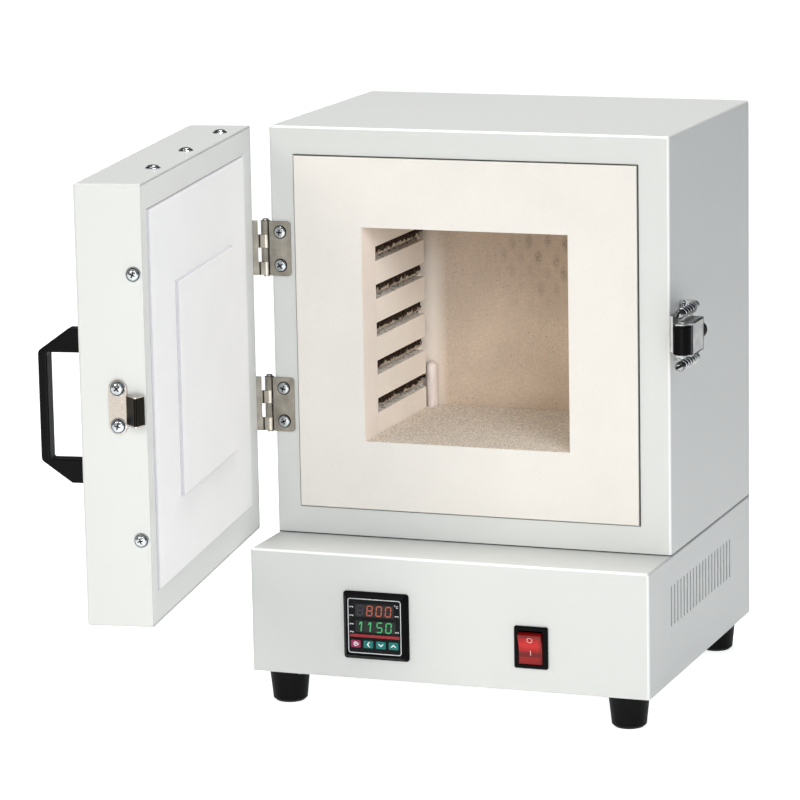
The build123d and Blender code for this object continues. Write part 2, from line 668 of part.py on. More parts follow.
def insulation_jacket():
    left, right, low, high = chamber_limits()
    inside = HALF_W - SHEET - FIT
    jacket = block(
        (-inside, inside), (BODY_FRONT + SHEET + FIT, JACKET_BACK), (BASE_TOP + SHEET + FIT, BODY_TOP - SHEET - FIT)
    )
    half = BOARD_SIZE / 2 + FIT
    jacket -= block(
        (CHAMBER_X - half, CHAMBER_X + half), (BODY_FRONT, BOARD_BACK), (CHAMBER_Z - half, CHAMBER_Z + half)
    )
    jacket -= block(
        (left - WALL_BOARD, right + WALL_BOARD), (BOARD_BACK - 1, CHAMBER_BACK + WALL_BOARD),
        (low - WALL_BOARD, high + WALL_BOARD),
    )
    jacket -= lead_holes(ELEMENT_WIRE_R + 1.5, CHAMBER_BACK + WALL_BOARD - 1, 40)
    jacket -= probe_hole(BASE_TOP, low - WALL_BOARD + 1, 1.0)
    for x, y in body_bolt_places():
        jacket -= rod((x, y, BASE_TOP), (0, 0, 1), 16, 6)
    for dy, dz in catch_screw_places():
        jacket -= rod((HALF_W - 16, BODY_FRONT + dy, CATCH_Z + dz), (1, 0, 0), 16, 3)
    for z in leaf_screw_heights():
        jacket -= rod((PIN_X + LEAF_SCREW, BODY_FRONT, z), (0, 1, 0), 14, 3)
    return jacket


def element_terminals():
    left = chamber_limits()[0]
    heights = groove_heights()
    blocks = []
    for x in (left - COIL_INSET, 2 * CHAMBER_X - left + COIL_INSET):
        for z in (heights[0], heights[-1]):
            post = block((x - 8, x + 8), (JACKET_BACK + 0.5, REAR - SHEET), (z - 7, z + 7))
            post = fillet(post.edges().filter_by(Axis.Y), 2)
            blocks.append(post - rod((x, JACKET_BACK - 1, z), (0, 1, 0), LEAD_END - JACKET_BACK + 2, ELEMENT_WIRE_R + 0.2))
    return blocks


def thermocouple_sheath():
    low = chamber_limits()[2]
    top = low + PROBE_ABOVE_FLOOR - PROBE_R
    tube = rod((PROBE_X, PROBE_Y, PROBE_LOW), (0, 0, 1), top - PROBE_LOW, PROBE_R)
    return tube + Pos(PROBE_X, PROBE_Y, top) * Sphere(PROBE_R)


def thermocouple_head():
    head = rod((PROBE_X, PROBE_Y, PROBE_LOW - 20), (0, 0, 1), 20, 11)
    head = fillet(head.edges().sort_by(Axis.Z)[0], 2)
    collar = rod((PROBE_X, PROBE_Y, BASE_TOP - SHEET - 9), (0, 0, 1), 9, 9)
    collar -= probe_hole(BASE_TOP - SHEET - 10, BASE_TOP, 0.1)
    return [head, collar]


# Hinges
def leaf_screw_heights():
    return [z + dz for z in HINGE_Z for dz in (-LEAF_SCREW_Z, LEAF_SCREW_Z)]


def hinge_leaf(rows, clear, reach, screw_at, side):
    """A leaf along +X whose barrel is rolled about the Z axis, its sheet on the barrel's tangent at one side."""
    step = HINGE_HEIGHT / KNUCKLES
    sheet = (-BARREL_R, LEAF - BARREL_R) if side < 0 else (BARREL_R - LEAF, BARREL_R)
    plate = block((clear, reach), sheet, (-HINGE_HEIGHT / 2, HINGE_HEIGHT / 2))
    plate = fillet(plate.edges().filter_by(Axis.Y).group_by(Axis.X)[-1], 2.5)
    for row in rows:
        low = HINGE_HEIGHT / 2 - (row + 1) * step + 0.2
        knuckle = rod((0, 0, low), (0, 0, 1), step - 0.4, BARREL_R)
        knuckle += block((0, clear + 1), sheet, (low, low + step - 0.4))
        plate += knuckle
    plate -= rod((0, 0, -HINGE_HEIGHT / 2 - 1), (0, 0, 1), HINGE_HEIGHT + 2, BORE_R)
    for z in (-LEAF_SCREW_Z, LEAF_SCREW_Z):
        plate -= rod((screw_at, sheet[0] - 1, z), (0, 1, 0), LEAF + 2, 1.9)
    return plate


def body_leaf(z):
    return Pos(PIN_X, PIN_Y, z) * hinge_leaf((0, 2), 4.2, LEAF_REACH, LEAF_SCREW, -1)


def door_leaf(z):
    leaf = hinge_leaf((1, 3), 5.4, DOOR_LEAF_REACH, DOOR_LEAF_SCREW, 1)
    return Pos(PIN_X, PIN_Y, z) * Rot(0, 0, -90) * leaf


def hinge_pin(z):
    length = HINGE_HEIGHT + 0.6
    pin = rod((PIN_X, PIN_Y, z - length / 2), (0, 0, 1), length, PIN_R)
    for low in (z - length / 2 - 0.8, z + length / 2):
        pin += rod((PIN_X, PIN_Y, low), (0, 0, 1), 0.8, 2.3)
    return pin


# Door
def door_shell():
    shell = block((DOOR_LEFT, DOOR_RIGHT), (DOOR_OUTER, DOOR_INNER), (DOOR_BOTTOM, BODY_TOP))
    shell = fillet(shell.edges().group_by(Axis.Y)[0] + shell.edges().filter_by(Axis.Y), 2.0)
    wall = DOOR_SHEET
    inside = block(
        (DOOR_LEFT + wall, DOOR_RIGHT - wall), (DOOR_OUTER + wall, DOOR_INNER + 1), (DOOR_BOTTOM + wall, BODY_TOP - wall)
    )
    shell -= fillet(inside.edges().filter_by(Axis.Y), 0.9)
    for z in EDGE_SCREW_Z:
        shell -= rod((DOOR_RIGHT - 3, DOOR_INNER - EDGE_SCREW_DEPTH, z), (1, 0, 0), 4, 1.7)
    for x in TOP_SCREW_X:
        shell -= rod((DOOR_LEFT + x, DOOR_INNER - TOP_SCREW_DEPTH, BODY_TOP - 3), (0, 0, 1), 4, 1.7)
        shell -= rod((DOOR_LEFT + x, DOOR_INNER - TOP_SCREW_DEPTH, DOOR_BOTTOM - 1), (0, 0, 1), 4, 1.7)
    for z in (HANDLE_Z - HANDLE_SCREW, HANDLE_Z + HANDLE_SCREW):
        shell -= rod((HANDLE_X, DOOR_OUTER - 1, z), (0, 1, 0), 4, 2.7)
    for dz in (-STRIKE_SCREW, STRIKE_SCREW):
        shell -= rod((DOOR_RIGHT - 3, DOOR_INNER - STRIKE_DEPTH, STRIKE_Z + dz), (1, 0, 0), 4, 1.7)
    for z in leaf_screw_heights():
        shell -= rod((DOOR_LEFT - 1, PIN_Y - DOOR_LEAF_SCREW, z), (1, 0, 0), 4, 1.7)
    return shell


def door_inner_frame():
    wall = DOOR_SHEET + 0.3
    x = (DOOR_LEFT + wall, DOOR_RIGHT - wall)
    z = (DOOR_BOTTOM + wall, BODY_TOP - wall)
    frame = block(x, (DOOR_INNER - 24, DOOR_INNER), z)
    frame = fillet(frame.edges().filter_by(Axis.Y), 1.0)
    frame -= block(
        (x[0] + DOOR_SHEET, x[1] - DOOR_SHEET), (DOOR_INNER - 25, DOOR_INNER - DOOR_SHEET),
        (z[0] + DOOR_SHEET, z[1] - DOOR_SHEET),
    )
    frame -= block(
        (FACE_X[0] - 0.5, FACE_X[1] + 0.5), (DOOR_INNER - 3, DOOR_INNER + 1), (FACE_Z[0] - 0.5, FACE_Z[1] + 0.5)
    )
    frame -= rod((DOOR_LEFT + 22.5, DOOR_INNER - 3, FACE_Z[1] + 1), (0, 1, 0), 4, 1.4)
    for height in EDGE_SCREW_Z:
        frame -= rod((DOOR_RIGHT - 5, DOOR_INNER - EDGE_SCREW_DEPTH, height), (1, 0, 0), 6, 1.7)
    for along in TOP_SCREW_X:
        frame -= rod((DOOR_LEFT + along, DOOR_INNER - TOP_SCREW_DEPTH, BODY_TOP - 5), (0, 0, 1), 6, 1.7)
        frame -= rod((DOOR_LEFT + along, DOOR_INNER - TOP_SCREW_DEPTH, DOOR_BOTTOM - 1), (0, 0, 1), 6, 1.7)
    for dz in (-STRIKE_SCREW, STRIKE_SCREW):
        frame -= rod((DOOR_RIGHT - 5, DOOR_INNER - STRIKE_DEPTH, STRIKE_Z + dz), (1, 0, 0), 6, 1.7)
    for height in leaf_screw_heights():
        frame -= rod((DOOR_LEFT - 1, PIN_Y - DOOR_LEAF_SCREW, height), (1, 0, 0), 6, 1.7)
    return frame


def door_face_board():
    front = DOOR_INNER + FACE_RAISE
    board = block(FACE_X, (front - FACE_BOARD, front), FACE_Z)
    return fillet(board.edges().group_by(Axis.Y)[-1], 1.2)


def door_plug():
    left, right, low, high = chamber_limits()
    front = DOOR_INNER + FACE_RAISE
    plug = block(
        (left + PLUG_GAP, right - PLUG_GAP), (front, front + PLUG_RAISE), (low + PLUG_GAP + 2, high - PLUG_GAP - 2)
    )
    return fillet(plug.edges().group_by(Axis.Y)[-1], 1.2)


def door_insulation():
    wall = DOOR_SHEET + 0.3 + DOOR_SHEET + 0.3
    back = DOOR_INNER + FACE_RAISE - FACE_BOARD
    blanket = block(
        (DOOR_LEFT + wall, DOOR_RIGHT - wall), (DOOR_OUTER + 6.5, back), (DOOR_BOTTOM + wall, BODY_TOP - wall)
    )
    for height in leaf_screw_heights():
        blanket -= rod((DOOR_LEFT, PIN_Y - DOOR_LEAF_SCREW, height), (1, 0, 0), 12, 3)
    for dz in (-STRIKE_SCREW, STRIKE_SCREW):
        blanket -= rod((DOOR_RIGHT - 12, DOOR_INNER - STRIKE_DEPTH, STRIKE_Z + dz), (1, 0, 0), 12, 3)
    return blanket


def door_screws():
    edge = [screw((DOOR_RIGHT, DOOR_INNER - EDGE_SCREW_DEPTH, z), (1, 0, 0), shank_r=1.5, washer_r=5.2) for z in EDGE_SCREW_Z]
    for along in TOP_SCREW_X:
        x, y = DOOR_LEFT + along, DOOR_INNER - TOP_SCREW_DEPTH
        edge.append(screw((x, y, BODY_TOP), (0, 0, 1), head_h=1.6, shank_r=1.5, washer_r=5.2))
        edge.append(screw((x, y, DOOR_BOTTOM), (0, 0, -1), head_r=3.2, head_h=1.6, shank_r=1.5))
    return edge


def door_handle():
    """A bow with sloping shoulders, drawn in its side view and extruded across its width."""
    foot, grip_half = HANDLE_FOOT, HANDLE_WINDOW + 0.8
    with BuildPart() as bow:
        with BuildSketch(Plane.YZ.offset(-HANDLE_W / 2)) as side:
            with BuildLine():
                Polyline(
                    (0, HANDLE_HALF), (-foot, HANDLE_HALF), (-HANDLE_OUT, grip_half),
                    (-HANDLE_OUT, -grip_half), (-foot, -HANDLE_HALF), (0, -HANDLE_HALF),
                    (0, -HANDLE_WINDOW), (-HANDLE_OUT + HANDLE_GRIP, -HANDLE_WINDOW),
                    (-HANDLE_OUT + HANDLE_GRIP, HANDLE_WINDOW), (0, HANDLE_WINDOW), (0, HANDLE_HALF),
                )
            make_face()
            fillet([v for v in side.vertices() if v.X < 1 - HANDLE_OUT], 4)
            fillet([v for v in side.vertices() if 4 - HANDLE_OUT < v.X < -20], 1.5)
        extrude(amount=HANDLE_W)
    edges = bow.part.edges()
    outline = edges.group_by(Axis.X)[0] + edges.group_by(Axis.X)[-1]
    bow = fillet([edge for edge in outline if edge.center().Y < -0.5], 1.2)
    for z in (-HANDLE_SCREW, HANDLE_SCREW):
        bow -= rod((0, -9, z), (0, 1, 0), 10, 2.3)
    return Pos(HANDLE_X, DOOR_OUTER, HANDLE_Z) * bow


def handle_screws():
    return [
        screw((HANDLE_X, DOOR_OUTER + DOOR_SHEET, z), (0, 1, 0), head_r=4.4, head_h=3.0, shank_r=2.1, shank=9)
        for z in (HANDLE_Z - HANDLE_SCREW, HANDLE_Z + HANDLE_SCREW)
    ]


def strike_plate():
    """A plate with round ends, and beside it a bent lip whose ridge the roller drops behind."""
    depth_y = DOOR_INNER - STRIKE_DEPTH
    flat = Plane(origin=(DOOR_RIGHT, depth_y, STRIKE_Z), x_dir=(0, 0, 1), z_dir=(1, 0, 0))
    plate = extrude(flat * SlotOverall(STRIKE_LENGTH, 12.5), 1.5)
    tip, ridge = STRIKE_RIDGE_X, STRIKE_RIDGE_Y
    with BuildPart() as lip:
        with BuildSketch(Plane.XY.offset(LIP_Z[0])):
            with BuildLine():
                Polyline(
                    (DOOR_RIGHT, depth_y), (DOOR_RIGHT + 1.5, depth_y), (DOOR_RIGHT + 1.5, ridge - 8.5),
                    (tip, ridge - 1.5),
                )
                ThreePointArc((tip, ridge - 1.5), (tip + 1.5, ridge), (tip, ridge + 1.5))
                Polyline(
                    (tip, ridge + 1.5), (DOOR_RIGHT + 2.6, ridge + 4.4), (DOOR_RIGHT + 2.2, ridge + 3.0),
                    (tip - 1.6, ridge), (DOOR_RIGHT + 1.0, ridge - 7.0), (DOOR_RIGHT, ridge - 7.0),
                    (DOOR_RIGHT, depth_y),
                )
            make_face()
        extrude(amount=LIP_Z[1] - LIP_Z[0])
    strike = plate + lip.part
    for dz in (-STRIKE_SCREW, STRIKE_SCREW):
        strike -= rod((DOOR_RIGHT - 1, depth_y, STRIKE_Z + dz), (1, 0, 0), 4, 1.9)
    return strike


# Spring catch
def catch_screw_places():
    return [(28.0, -16.0), (28.0, 16.0)]


def catch_bracket():
    base = block((HALF_W, HALF_W + 2), (FLANGE_Y, BODY_FRONT + 36), (CATCH_Z - 23, CATCH_Z + 23))
    base += block((HALF_W, HALF_W + 2), (BODY_FRONT + 1, FLANGE_Y + 1), (CATCH_Z - 13, CATCH_Z + 13))
    base = fillet(base.edges().filter_by(Axis.X).group_by(Axis.Y)[-1], 3)
    flange = block((HALF_W, CARRIAGE_EAR), (FLANGE_Y, FLANGE_Y + 2), (CATCH_Z - 23, CATCH_Z + 23))
    flange = fillet(flange.edges().filter_by(Axis.Y).group_by(Axis.X)[-1], 3)
    flange += block((HALF_W, FLANGE_OUT), (FLANGE_Y, FLANGE_Y + 2), (CATCH_Z - 11, CATCH_Z + 11))
    bracket = base + flange
    for dz in (-CATCH_BOLT_Z, CATCH_BOLT_Z):
        bracket -= rod((CATCH_BOLT_X, FLANGE_Y - 1, CATCH_Z + dz), (0, 1, 0), 4, CATCH_BOLT_R + 0.15)
    bracket -= rod((KNOB_X, FLANGE_Y - 1, CATCH_Z), (0, 1, 0), 4, 2.15)
    for dy, dz in catch_screw_places():
        bracket -= rod((HALF_W - 1, BODY_FRONT + dy, CATCH_Z + dz), (1, 0, 0), 4, 1.9)
    return bracket


def catch_bolt(dz):
    start = CATCH_HEAD_Y
    z = CATCH_Z + dz
    head = rod((CATCH_BOLT_X, start, z), (0, 1, 0), CATCH_HEAD, 3.4)
    head -= block((CATCH_BOLT_X - 5, CATCH_BOLT_X + 5), (start - 1, start + 1.4), (z - 0.6, z + 0.6))
    shank = rod((CATCH_BOLT_X, start + 3, z), (0, 1, 0), FLANGE_Y + 9 - start - 3, CATCH_BOLT_R)
    nut = rod((CATCH_BOLT_X, FLANGE_Y + 2, z), (0, 1, 0), 3.2, 3.6)
    return head + shank + nut


def catch_adjuster():
    knob = rod((KNOB_X, FLANGE_Y + 6, CATCH_Z), (0, 1, 0), 8, 6.2)
    knob = fillet(knob.edges().filter_by(GeomType.CIRCLE), 1.0)
    return knob + rod((KNOB_X, FLANGE_Y + 0.1, CATCH_Z), (0, 1, 0), 7, 2.0)


def spring_turns(radius, length, turns):
    """Biarcs of a quarter turn each along a right-handed helix about +Y, as one wire."""
    steps = turns * 4
    rise = length / steps

    def point(i):
        a = i * pi / 2
        return Vector(radius * cos(a), i * rise, -radius * sin(a))

    def tangent(i):
        a = i * pi / 2
        return Vector(-radius * sin(a) * pi / 2, rise, -radius * cos(a) * pi / 2).normalized()

    arcs = []
    for i in range(steps):
        p0, p1, t0, t1 = point(i), point(i + 1), tangent(i), tangent(i + 1)
        chord, both, bend = p1 - p0, t0 + t1, 1 - t0.dot(t1)
        reach = (-chord.dot(both) + sqrt(chord.dot(both) ** 2 + 2 * bend * chord.dot(chord))) / (2 * bend)
        a, b = p0 + t0 * reach, p1 - t1 * reach
        middle = (a + b) * 0.5
        arcs.append(TangentArc(p0, middle, tangent=t0))
        arcs.append(TangentArc(middle, p1, tangent=(b - a).normalized()))
    gap = rise * 4 - 2 * SPRING_WIRE_R
    print("least gap between spring turns", round(gap, 2))
    return Wire(arcs)


def catch_spring(dz):
    low = CATCH_HEAD_Y + CATCH_HEAD + SPRING_WIRE_R + 0.05
    length = CARRIAGE_Y - SPRING_WIRE_R - 0.05 - low
    path = spring_turns(SPRING_R, length, SPRING_TURNS)
    section = Plane(origin=path.position_at(0), z_dir=path.tangent_at(0)) * Circle(SPRING_WIRE_R)
    return Pos(CATCH_BOLT_X, low, CATCH_Z + dz) * sweep(section, path=path)


def catch_carriage():
    """The rocking part: a plate against the bracket's flange, with a channel that holds the roller."""
    plate = block((HALF_W + 3, CARRIAGE_EAR), (CARRIAGE_Y, CARRIAGE_Y + 2), (CATCH_Z - 23, CATCH_Z + 23))
    plate = fillet(plate.edges().filter_by(Axis.Y), 3)
    half = ROLLER_H / 2 + 0.4
    front = ROLLER_Y - 4.5
    tall = (CATCH_Z - half - CARRIAGE_SHEET, CATCH_Z + half + CARRIAGE_SHEET)
    plate += block((HALF_W + 5, CARRIAGE_OUT), (CARRIAGE_Y, CARRIAGE_Y + 2), tall)
    web = block((CARRIAGE_OUT - CARRIAGE_SHEET, CARRIAGE_OUT), (ROLLER_Y + 5, CARRIAGE_Y + 1), tall)
    carriage = plate + web
    for low in (CATCH_Z - half - CARRIAGE_SHEET, CATCH_Z + half):
        cheek = block((ROLLER_X - 3.8, CARRIAGE_OUT), (front, CARRIAGE_Y + 1), (low, low + CARRIAGE_SHEET))
        carriage += fillet(cheek.edges().filter_by(Axis.Z).group_by(Axis.Y)[0], 3.5)
    carriage -= rod((ROLLER_X, ROLLER_Y, CATCH_Z - 20), (0, 0, 1), 40, 1.55)
    for dz in (-CATCH_BOLT_Z, CATCH_BOLT_Z):
        carriage -= rod((CATCH_BOLT_X, CARRIAGE_Y - 1, CATCH_Z + dz), (0, 1, 0), 4, 3.2)
    return carriage


def catch_roller():
    roller = rod((ROLLER_X, ROLLER_Y, CATCH_Z - ROLLER_H / 2), (0, 0, 1), ROLLER_H, ROLLER_R)
    roller = fillet(roller.edges().filter_by(GeomType.CIRCLE), 0.8)
    return roller - rod((ROLLER_X, ROLLER_Y, CATCH_Z - 20), (0, 0, 1), 40, 1.56)


def catch_roller_pin():
    half = ROLLER_H / 2 + 0.4 + CARRIAGE_SHEET
    pin = rod((ROLLER_X, ROLLER_Y, CATCH_Z - half - 0.8), (0, 0, 1), 2 * half + 1.6, 1.5)
    for low in (CATCH_Z - half - 1.2, CATCH_Z + half):
        pin += rod((ROLLER_X, ROLLER_Y, low), (0, 0, 1), 1.2, 2.4)
    return pin


# Write every sub-part
save("base_cabinet", base_cabinet())
save("base_bottom_plate", base_bottom_plate())
save("base_rear_panel", base_rear_panel())
save("base_screws", *base_screws())
save("power_inlet", power_inlet())
save("rubber_feet", *[rubber_foot(x, y) for x, y in foot_places()])
save(
    "foot_screws",
    *[
        screw((x, y, FOOT_RECESS_DEPTH + 4.5), (0, 0, -1), head_r=4.2, head_h=3.0, shank_r=2.0, shank=16)
        for x, y in foot_places()
    ],
)
save("relay_heatsink", relay_heatsink())
save("solid_state_relay", solid_state_relay())
save("terminal_strip", terminal_strip())
save("controller_bezel", controller_bezel())
save("controller_faceplate", controller_faceplate())
save("controller_housing", controller_housing())
save("controller_clamp", controller_clamp())
for name, x in zip(("key_set", "key_left", "key_down", "key_up"), key_centres()):
    save(name, controller_key(x))
save("switch_housing", switch_housing())
save("switch_rocker", switch_rocker())

save("body_shell", body_shell())
save("body_rear_panel", body_rear_panel())
save(
    "body_rear_screws",
    *[screw((x, REAR, z), (0, 1, 0), head_r=3.2, head_h=2.0, shank_r=1.5) for x, z in panel_screw_places()],
)
save("body_bolts", *[body_bolt(x, y) for x, y in body_bolt_places()])
save("front_board", front_board())
save("heater_panel_left", heater_panel())
save("heater_panel_right", mirrored(heater_panel()))
save("heating_coil_left", heating_coil())
save("heating_coil_right", mirrored(heating_coil()))
save("roof_board", roof_board())
save("floor_board", floor_board())
save("back_board", back_board())
save("hearth_plate", hearth_plate())
save("insulation_jacket", insulation_jacket())
save("element_terminals", *element_terminals())
save("thermocouple_sheath", thermocouple_sheath())
save("thermocouple_head", *thermocouple_head())

save("hinge_leaves_body", *[body_leaf(z) for z in HINGE_Z])
save("hinge_pins", *[hinge_pin(z) for z in HINGE_Z])
save(
    "hinge_screws_body",
    *[screw((PIN_X + LEAF_SCREW, BODY_FRONT - LEAF, z), (0, -1, 0), head_r=4.4, shank_r=1.5) for z in leaf_screw_heights()],
)
save("hinge_leaves_door", *[swing(door_leaf(z)) for z in HINGE_Z])
save(
    "hinge_screws_door",
    *[
        swing(screw((DOOR_LEFT - LEAF, PIN_Y - DOOR_LEAF_SCREW, z), (-1, 0, 0), head_r=4.4, shank_r=1.5))
        for z in leaf_screw_heights()
    ],
)
save("door_shell", swing(door_shell()))
save("door_inner_frame", swing(door_inner_frame()))
save("door_face_board", swing(door_face_board()))
save("door_plug", swing(door_plug()))
save("door_insulation", swing(door_insulation()))
save("door_screws", *[swing(piece) for piece in door_screws()])
save("door_handle", swing(door_handle()))
save("handle_screws", *[swing(piece) for piece in handle_screws()])
save("strike_plate", swing(strike_plate()))
save(
    "strike_screws",
    *[
        swing(screw((DOOR_RIGHT + 1.5, DOOR_INNER - STRIKE_DEPTH, STRIKE_Z + dz), (1, 0, 0), shank_r=1.5))
        for dz in (-STRIKE_SCREW, STRIKE_SCREW)
    ],
)

save("catch_bracket", catch_bracket())
save(
    "catch_bracket_screws",
    *[
        screw((HALF_W + 2, BODY_FRONT + dy, CATCH_Z + dz), (1, 0, 0), head_r=3.6, head_h=2.2, shank_r=1.5, shank=9)
        for dy, dz in catch_screw_places()
    ],
)
save("catch_bolts", *[catch_bolt(dz) for dz in (-CATCH_BOLT_Z, CATCH_BOLT_Z)])
save("catch_springs", *[catch_spring(dz) for dz in (-CATCH_BOLT_Z, CATCH_BOLT_Z)])
save("catch_adjuster", catch_adjuster())
save("catch_carriage", catch_carriage())
save("catch_roller_pin", catch_roller_pin())
save("catch_roller", catch_roller())
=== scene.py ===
from math import cos, pi, radians, sin, sqrt

import bmesh
import bpy
from bpy.props import FloatProperty, FloatVectorProperty, PointerProperty
from mathutils import Matrix, Vector, noise


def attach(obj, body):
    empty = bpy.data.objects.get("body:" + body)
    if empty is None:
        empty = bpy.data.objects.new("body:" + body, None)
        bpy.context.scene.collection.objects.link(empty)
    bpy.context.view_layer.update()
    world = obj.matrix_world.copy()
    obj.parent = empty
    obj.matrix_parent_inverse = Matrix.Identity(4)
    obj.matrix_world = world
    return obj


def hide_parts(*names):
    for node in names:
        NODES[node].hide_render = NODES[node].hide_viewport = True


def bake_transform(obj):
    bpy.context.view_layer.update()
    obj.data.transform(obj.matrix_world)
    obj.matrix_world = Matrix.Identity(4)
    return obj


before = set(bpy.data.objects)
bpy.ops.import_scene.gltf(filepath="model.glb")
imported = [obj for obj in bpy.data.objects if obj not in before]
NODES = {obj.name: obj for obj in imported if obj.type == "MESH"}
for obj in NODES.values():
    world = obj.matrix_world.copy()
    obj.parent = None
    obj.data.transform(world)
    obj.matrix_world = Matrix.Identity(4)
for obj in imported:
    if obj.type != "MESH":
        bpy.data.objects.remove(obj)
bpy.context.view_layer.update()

bl_info = {
    "name": "Wax burnout oven finish",
    "version": (1, 0, 0),
    "blender": (4, 5, 0),
    "location": "3D View > Sidebar > Oven",
    "description": "Finishes, small parts and studio for a benchtop wax burnout oven",
    "category": "Object",
}

MM = 0.001

# Places taken from the CAD part, in millimetres
FRONT = -133.0
REAR = 133.0
HALF_WIDTH = 150.0
BASE_TOP = 116.0
BODY_FRONT = -77.0
BODY_TOP = 416.0
PIN = Vector((-155.0, -74.9, 0.0))
DOOR_OPEN = radians(81.7)
DOOR_LEFT = -151.4
DOOR_RIGHT = 148.6
DOOR_INNER = -84.0
DOOR_BOTTOM = 118.5
CONTROL = Vector((-53.4, FRONT - 4.4, 65.1))
KEYS = (("key_set", -67.7), ("key_left", -58.1), ("key_down", -48.5), ("key_up", -38.9))
KEY_FACE = Vector((0.0, FRONT - 5.2, 51.9))
ROCKER_AXLE = Vector((63.3, FRONT + 2.0, 57.3))
CHAMBER_X = -2.0
CHAMBER_Z = 266.0
CHAMBER_HALF = 78.0
GROOVE_PITCH = 28.0
GROOVES = [264.5 + GROOVE_PITCH * step for step in (-2, -1, 0, 1, 2)]
COIL_DEPTH = 6.2
HINGE_X = -142.4
HINGES_Z = (211.5, 326.5)
STRIKE_Z = 268.0
CATCH_Z = 276.0
SPRING_X = 163.0
SPRINGS_DZ = (-18.5, 18.5)

REFLECTOR = "lit_by_reflector"


# Colour and node helpers
def linear(hex_colour):
    """An sRGB hex colour as linear RGBA."""
    channels = [int(hex_colour[i:i + 2], 16) / 255 for i in (1, 3, 5)]
    return (*[c / 12.92 if c <= 0.04045 else ((c + 0.055) / 1.055) ** 2.4 for c in channels], 1.0)


def srgb(hex_colour):
    """An sRGB hex colour as the default of a colour property."""
    return linear(hex_colour)[:3]


def scaled(colour, factor, lift=0.0):
    """A linear colour made lighter or darker."""
    return (*[min(1.0, channel * factor + lift) for channel in colour[:3]], 1.0)


def grey(value):
    return (value, value, value, 1.0)


def per_mm(size):
    """A pattern's scale per metre, from the size of its features in millimetres."""
    return 1000.0 / size


def add(tree, kind, settings=None, links=None):
    """Adds a node, sets its settings or unlinked sockets, and links sockets to it."""
    node = tree.nodes.new("ShaderNode" + kind)
    for key, value in (settings or {}).items():
        if key == "stops":
            ramp = node.color_ramp
            while len(ramp.elements) < len(value):
                ramp.elements.new(1.0)
            for element, (place, colour) in zip(ramp.elements, value):
                element.position, element.color = place, linear(colour)
        elif isinstance(key, str) and key[0].islower():
            setattr(node, key, value)
        else:
            node.inputs[key].default_value = value
    for key, socket in (links or {}).items():
        tree.links.new(socket, node.inputs[key])
    return node


def start_material(name, shader):
    """A material with a shader, its output and the coordinates of the row frame."""
    material = bpy.data.materials.new(name)
    material.use_nodes = True
    tree = material.node_tree
    tree.nodes.clear()
    bsdf = add(tree, "BsdfPrincipled", shader)
    add(tree, "OutputMaterial", None, {"Surface": bsdf.outputs[0]})
    place = add(tree, "TexCoord").outputs["Object"]
    return material, tree, bsdf, place


def surface(tree, bsdf, colour, height, strength, depth):
    """Gives a shader its colour, and a relief of this many millimetres."""
    bump = add(tree, "Bump", {"Strength": strength, "Distance": depth * MM}, {"Height": height})
    tree.links.new(bump.outputs[0], bsdf.inputs["Normal"])
    tree.links.new(colour, bsdf.inputs["Base Color"])


def region(tree, *limits):
    """A mask that is 1 where each value, in metres, is past the second of its limits, in millimetres, and falls
    softly to 0 towards the first."""
    mask = None
    for value, first, last in limits:
        step = add(tree, "MapRange", {"From Min": first * MM, "From Max": last * MM}, {"Value": value})
        if mask:
            step = add(tree, "Math", {"operation": "MULTIPLY"}, {0: mask.outputs[0], 1: step.outputs[0]})
        mask = step
    return mask.outputs[0]


def stained(tree, under, colour, *masks, share=1.0):
    """A colour laid over another where all masks are 1, at a share of its strength."""
    mask = masks[0]
    for other in masks[1:]:
        mask = add(tree, "Math", {"operation": "MULTIPLY"}, {0: mask, 1: other}).outputs[0]
    if share < 1.0:
        mask = add(tree, "Math", {"operation": "MULTIPLY", 1: share}, {0: mask}).outputs[0]
    return add(tree, "Mix", {"data_type": "RGBA", 7: linear(colour)}, {0: mask, 6: under}).outputs[2]


def away_from(tree, value, middle):
    """The distance of a value in metres from a place in millimetres."""
    past = add(tree, "Math", {"operation": "SUBTRACT", 1: middle * MM}, {0: value})
    return add(tree, "Math", {"operation": "ABSOLUTE"}, {0: past.outputs[0]}).outputs[0]


def jittered(tree, value, fac, reach):
    """A value in metres moved up or down by a noise, at most by this many millimetres."""
    shift = add(tree, "Math", {"operation": "MULTIPLY_ADD", 1: 2 * reach * MM, 2: -reach * MM}, {0: fac})
    return add(tree, "Math", {"operation": "ADD"}, {0: value, 1: shift.outputs[0]}).outputs[0]


# Mesh helpers
def as_piece(mesh, material, body, replaces=(), smooth=True):
    """Links a mesh in the row frame as a piece that rides on a body, or on none yet."""
    for polygon in mesh.polygons:
        polygon.use_smooth = smooth
    mesh.materials.append(material)
    piece = bpy.data.objects.new(mesh.name, mesh)
    bpy.context.scene.collection.objects.link(piece)
    if body:
        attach(piece, body)
    if replaces:
        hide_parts(*replaces)
    return piece


def paint(material, *nodes):
    """Gives CAD nodes a material."""
    for name in nodes:
        data = NODES[name].data
        data.materials.clear()
        data.materials.append(material)


def finish_bmesh(bm, name):
    mesh = bpy.data.meshes.new(name)
    bm.normal_update()
    bm.to_mesh(mesh)
    bm.free()
    return mesh


def in_metres(bm, name):
    """The mesh of a bmesh that was drawn in millimetres."""
    bmesh.ops.scale(bm, vec=(MM, MM, MM), verts=bm.verts)
    return finish_bmesh(bm, name)


def add_copy(bm, mesh, move):
    """Adds a moved copy of a mesh to a bmesh."""
    copy = mesh.copy()
    copy.transform(move)
    bm.from_mesh(copy)
    bpy.data.meshes.remove(copy)


def bevelled(piece, width, angle=30):
    edges = piece.modifiers.new("rounded edges", "BEVEL")
    edges.width, edges.segments, edges.limit_method = width * MM, 2, "ANGLE"
    edges.angle_limit = radians(angle)


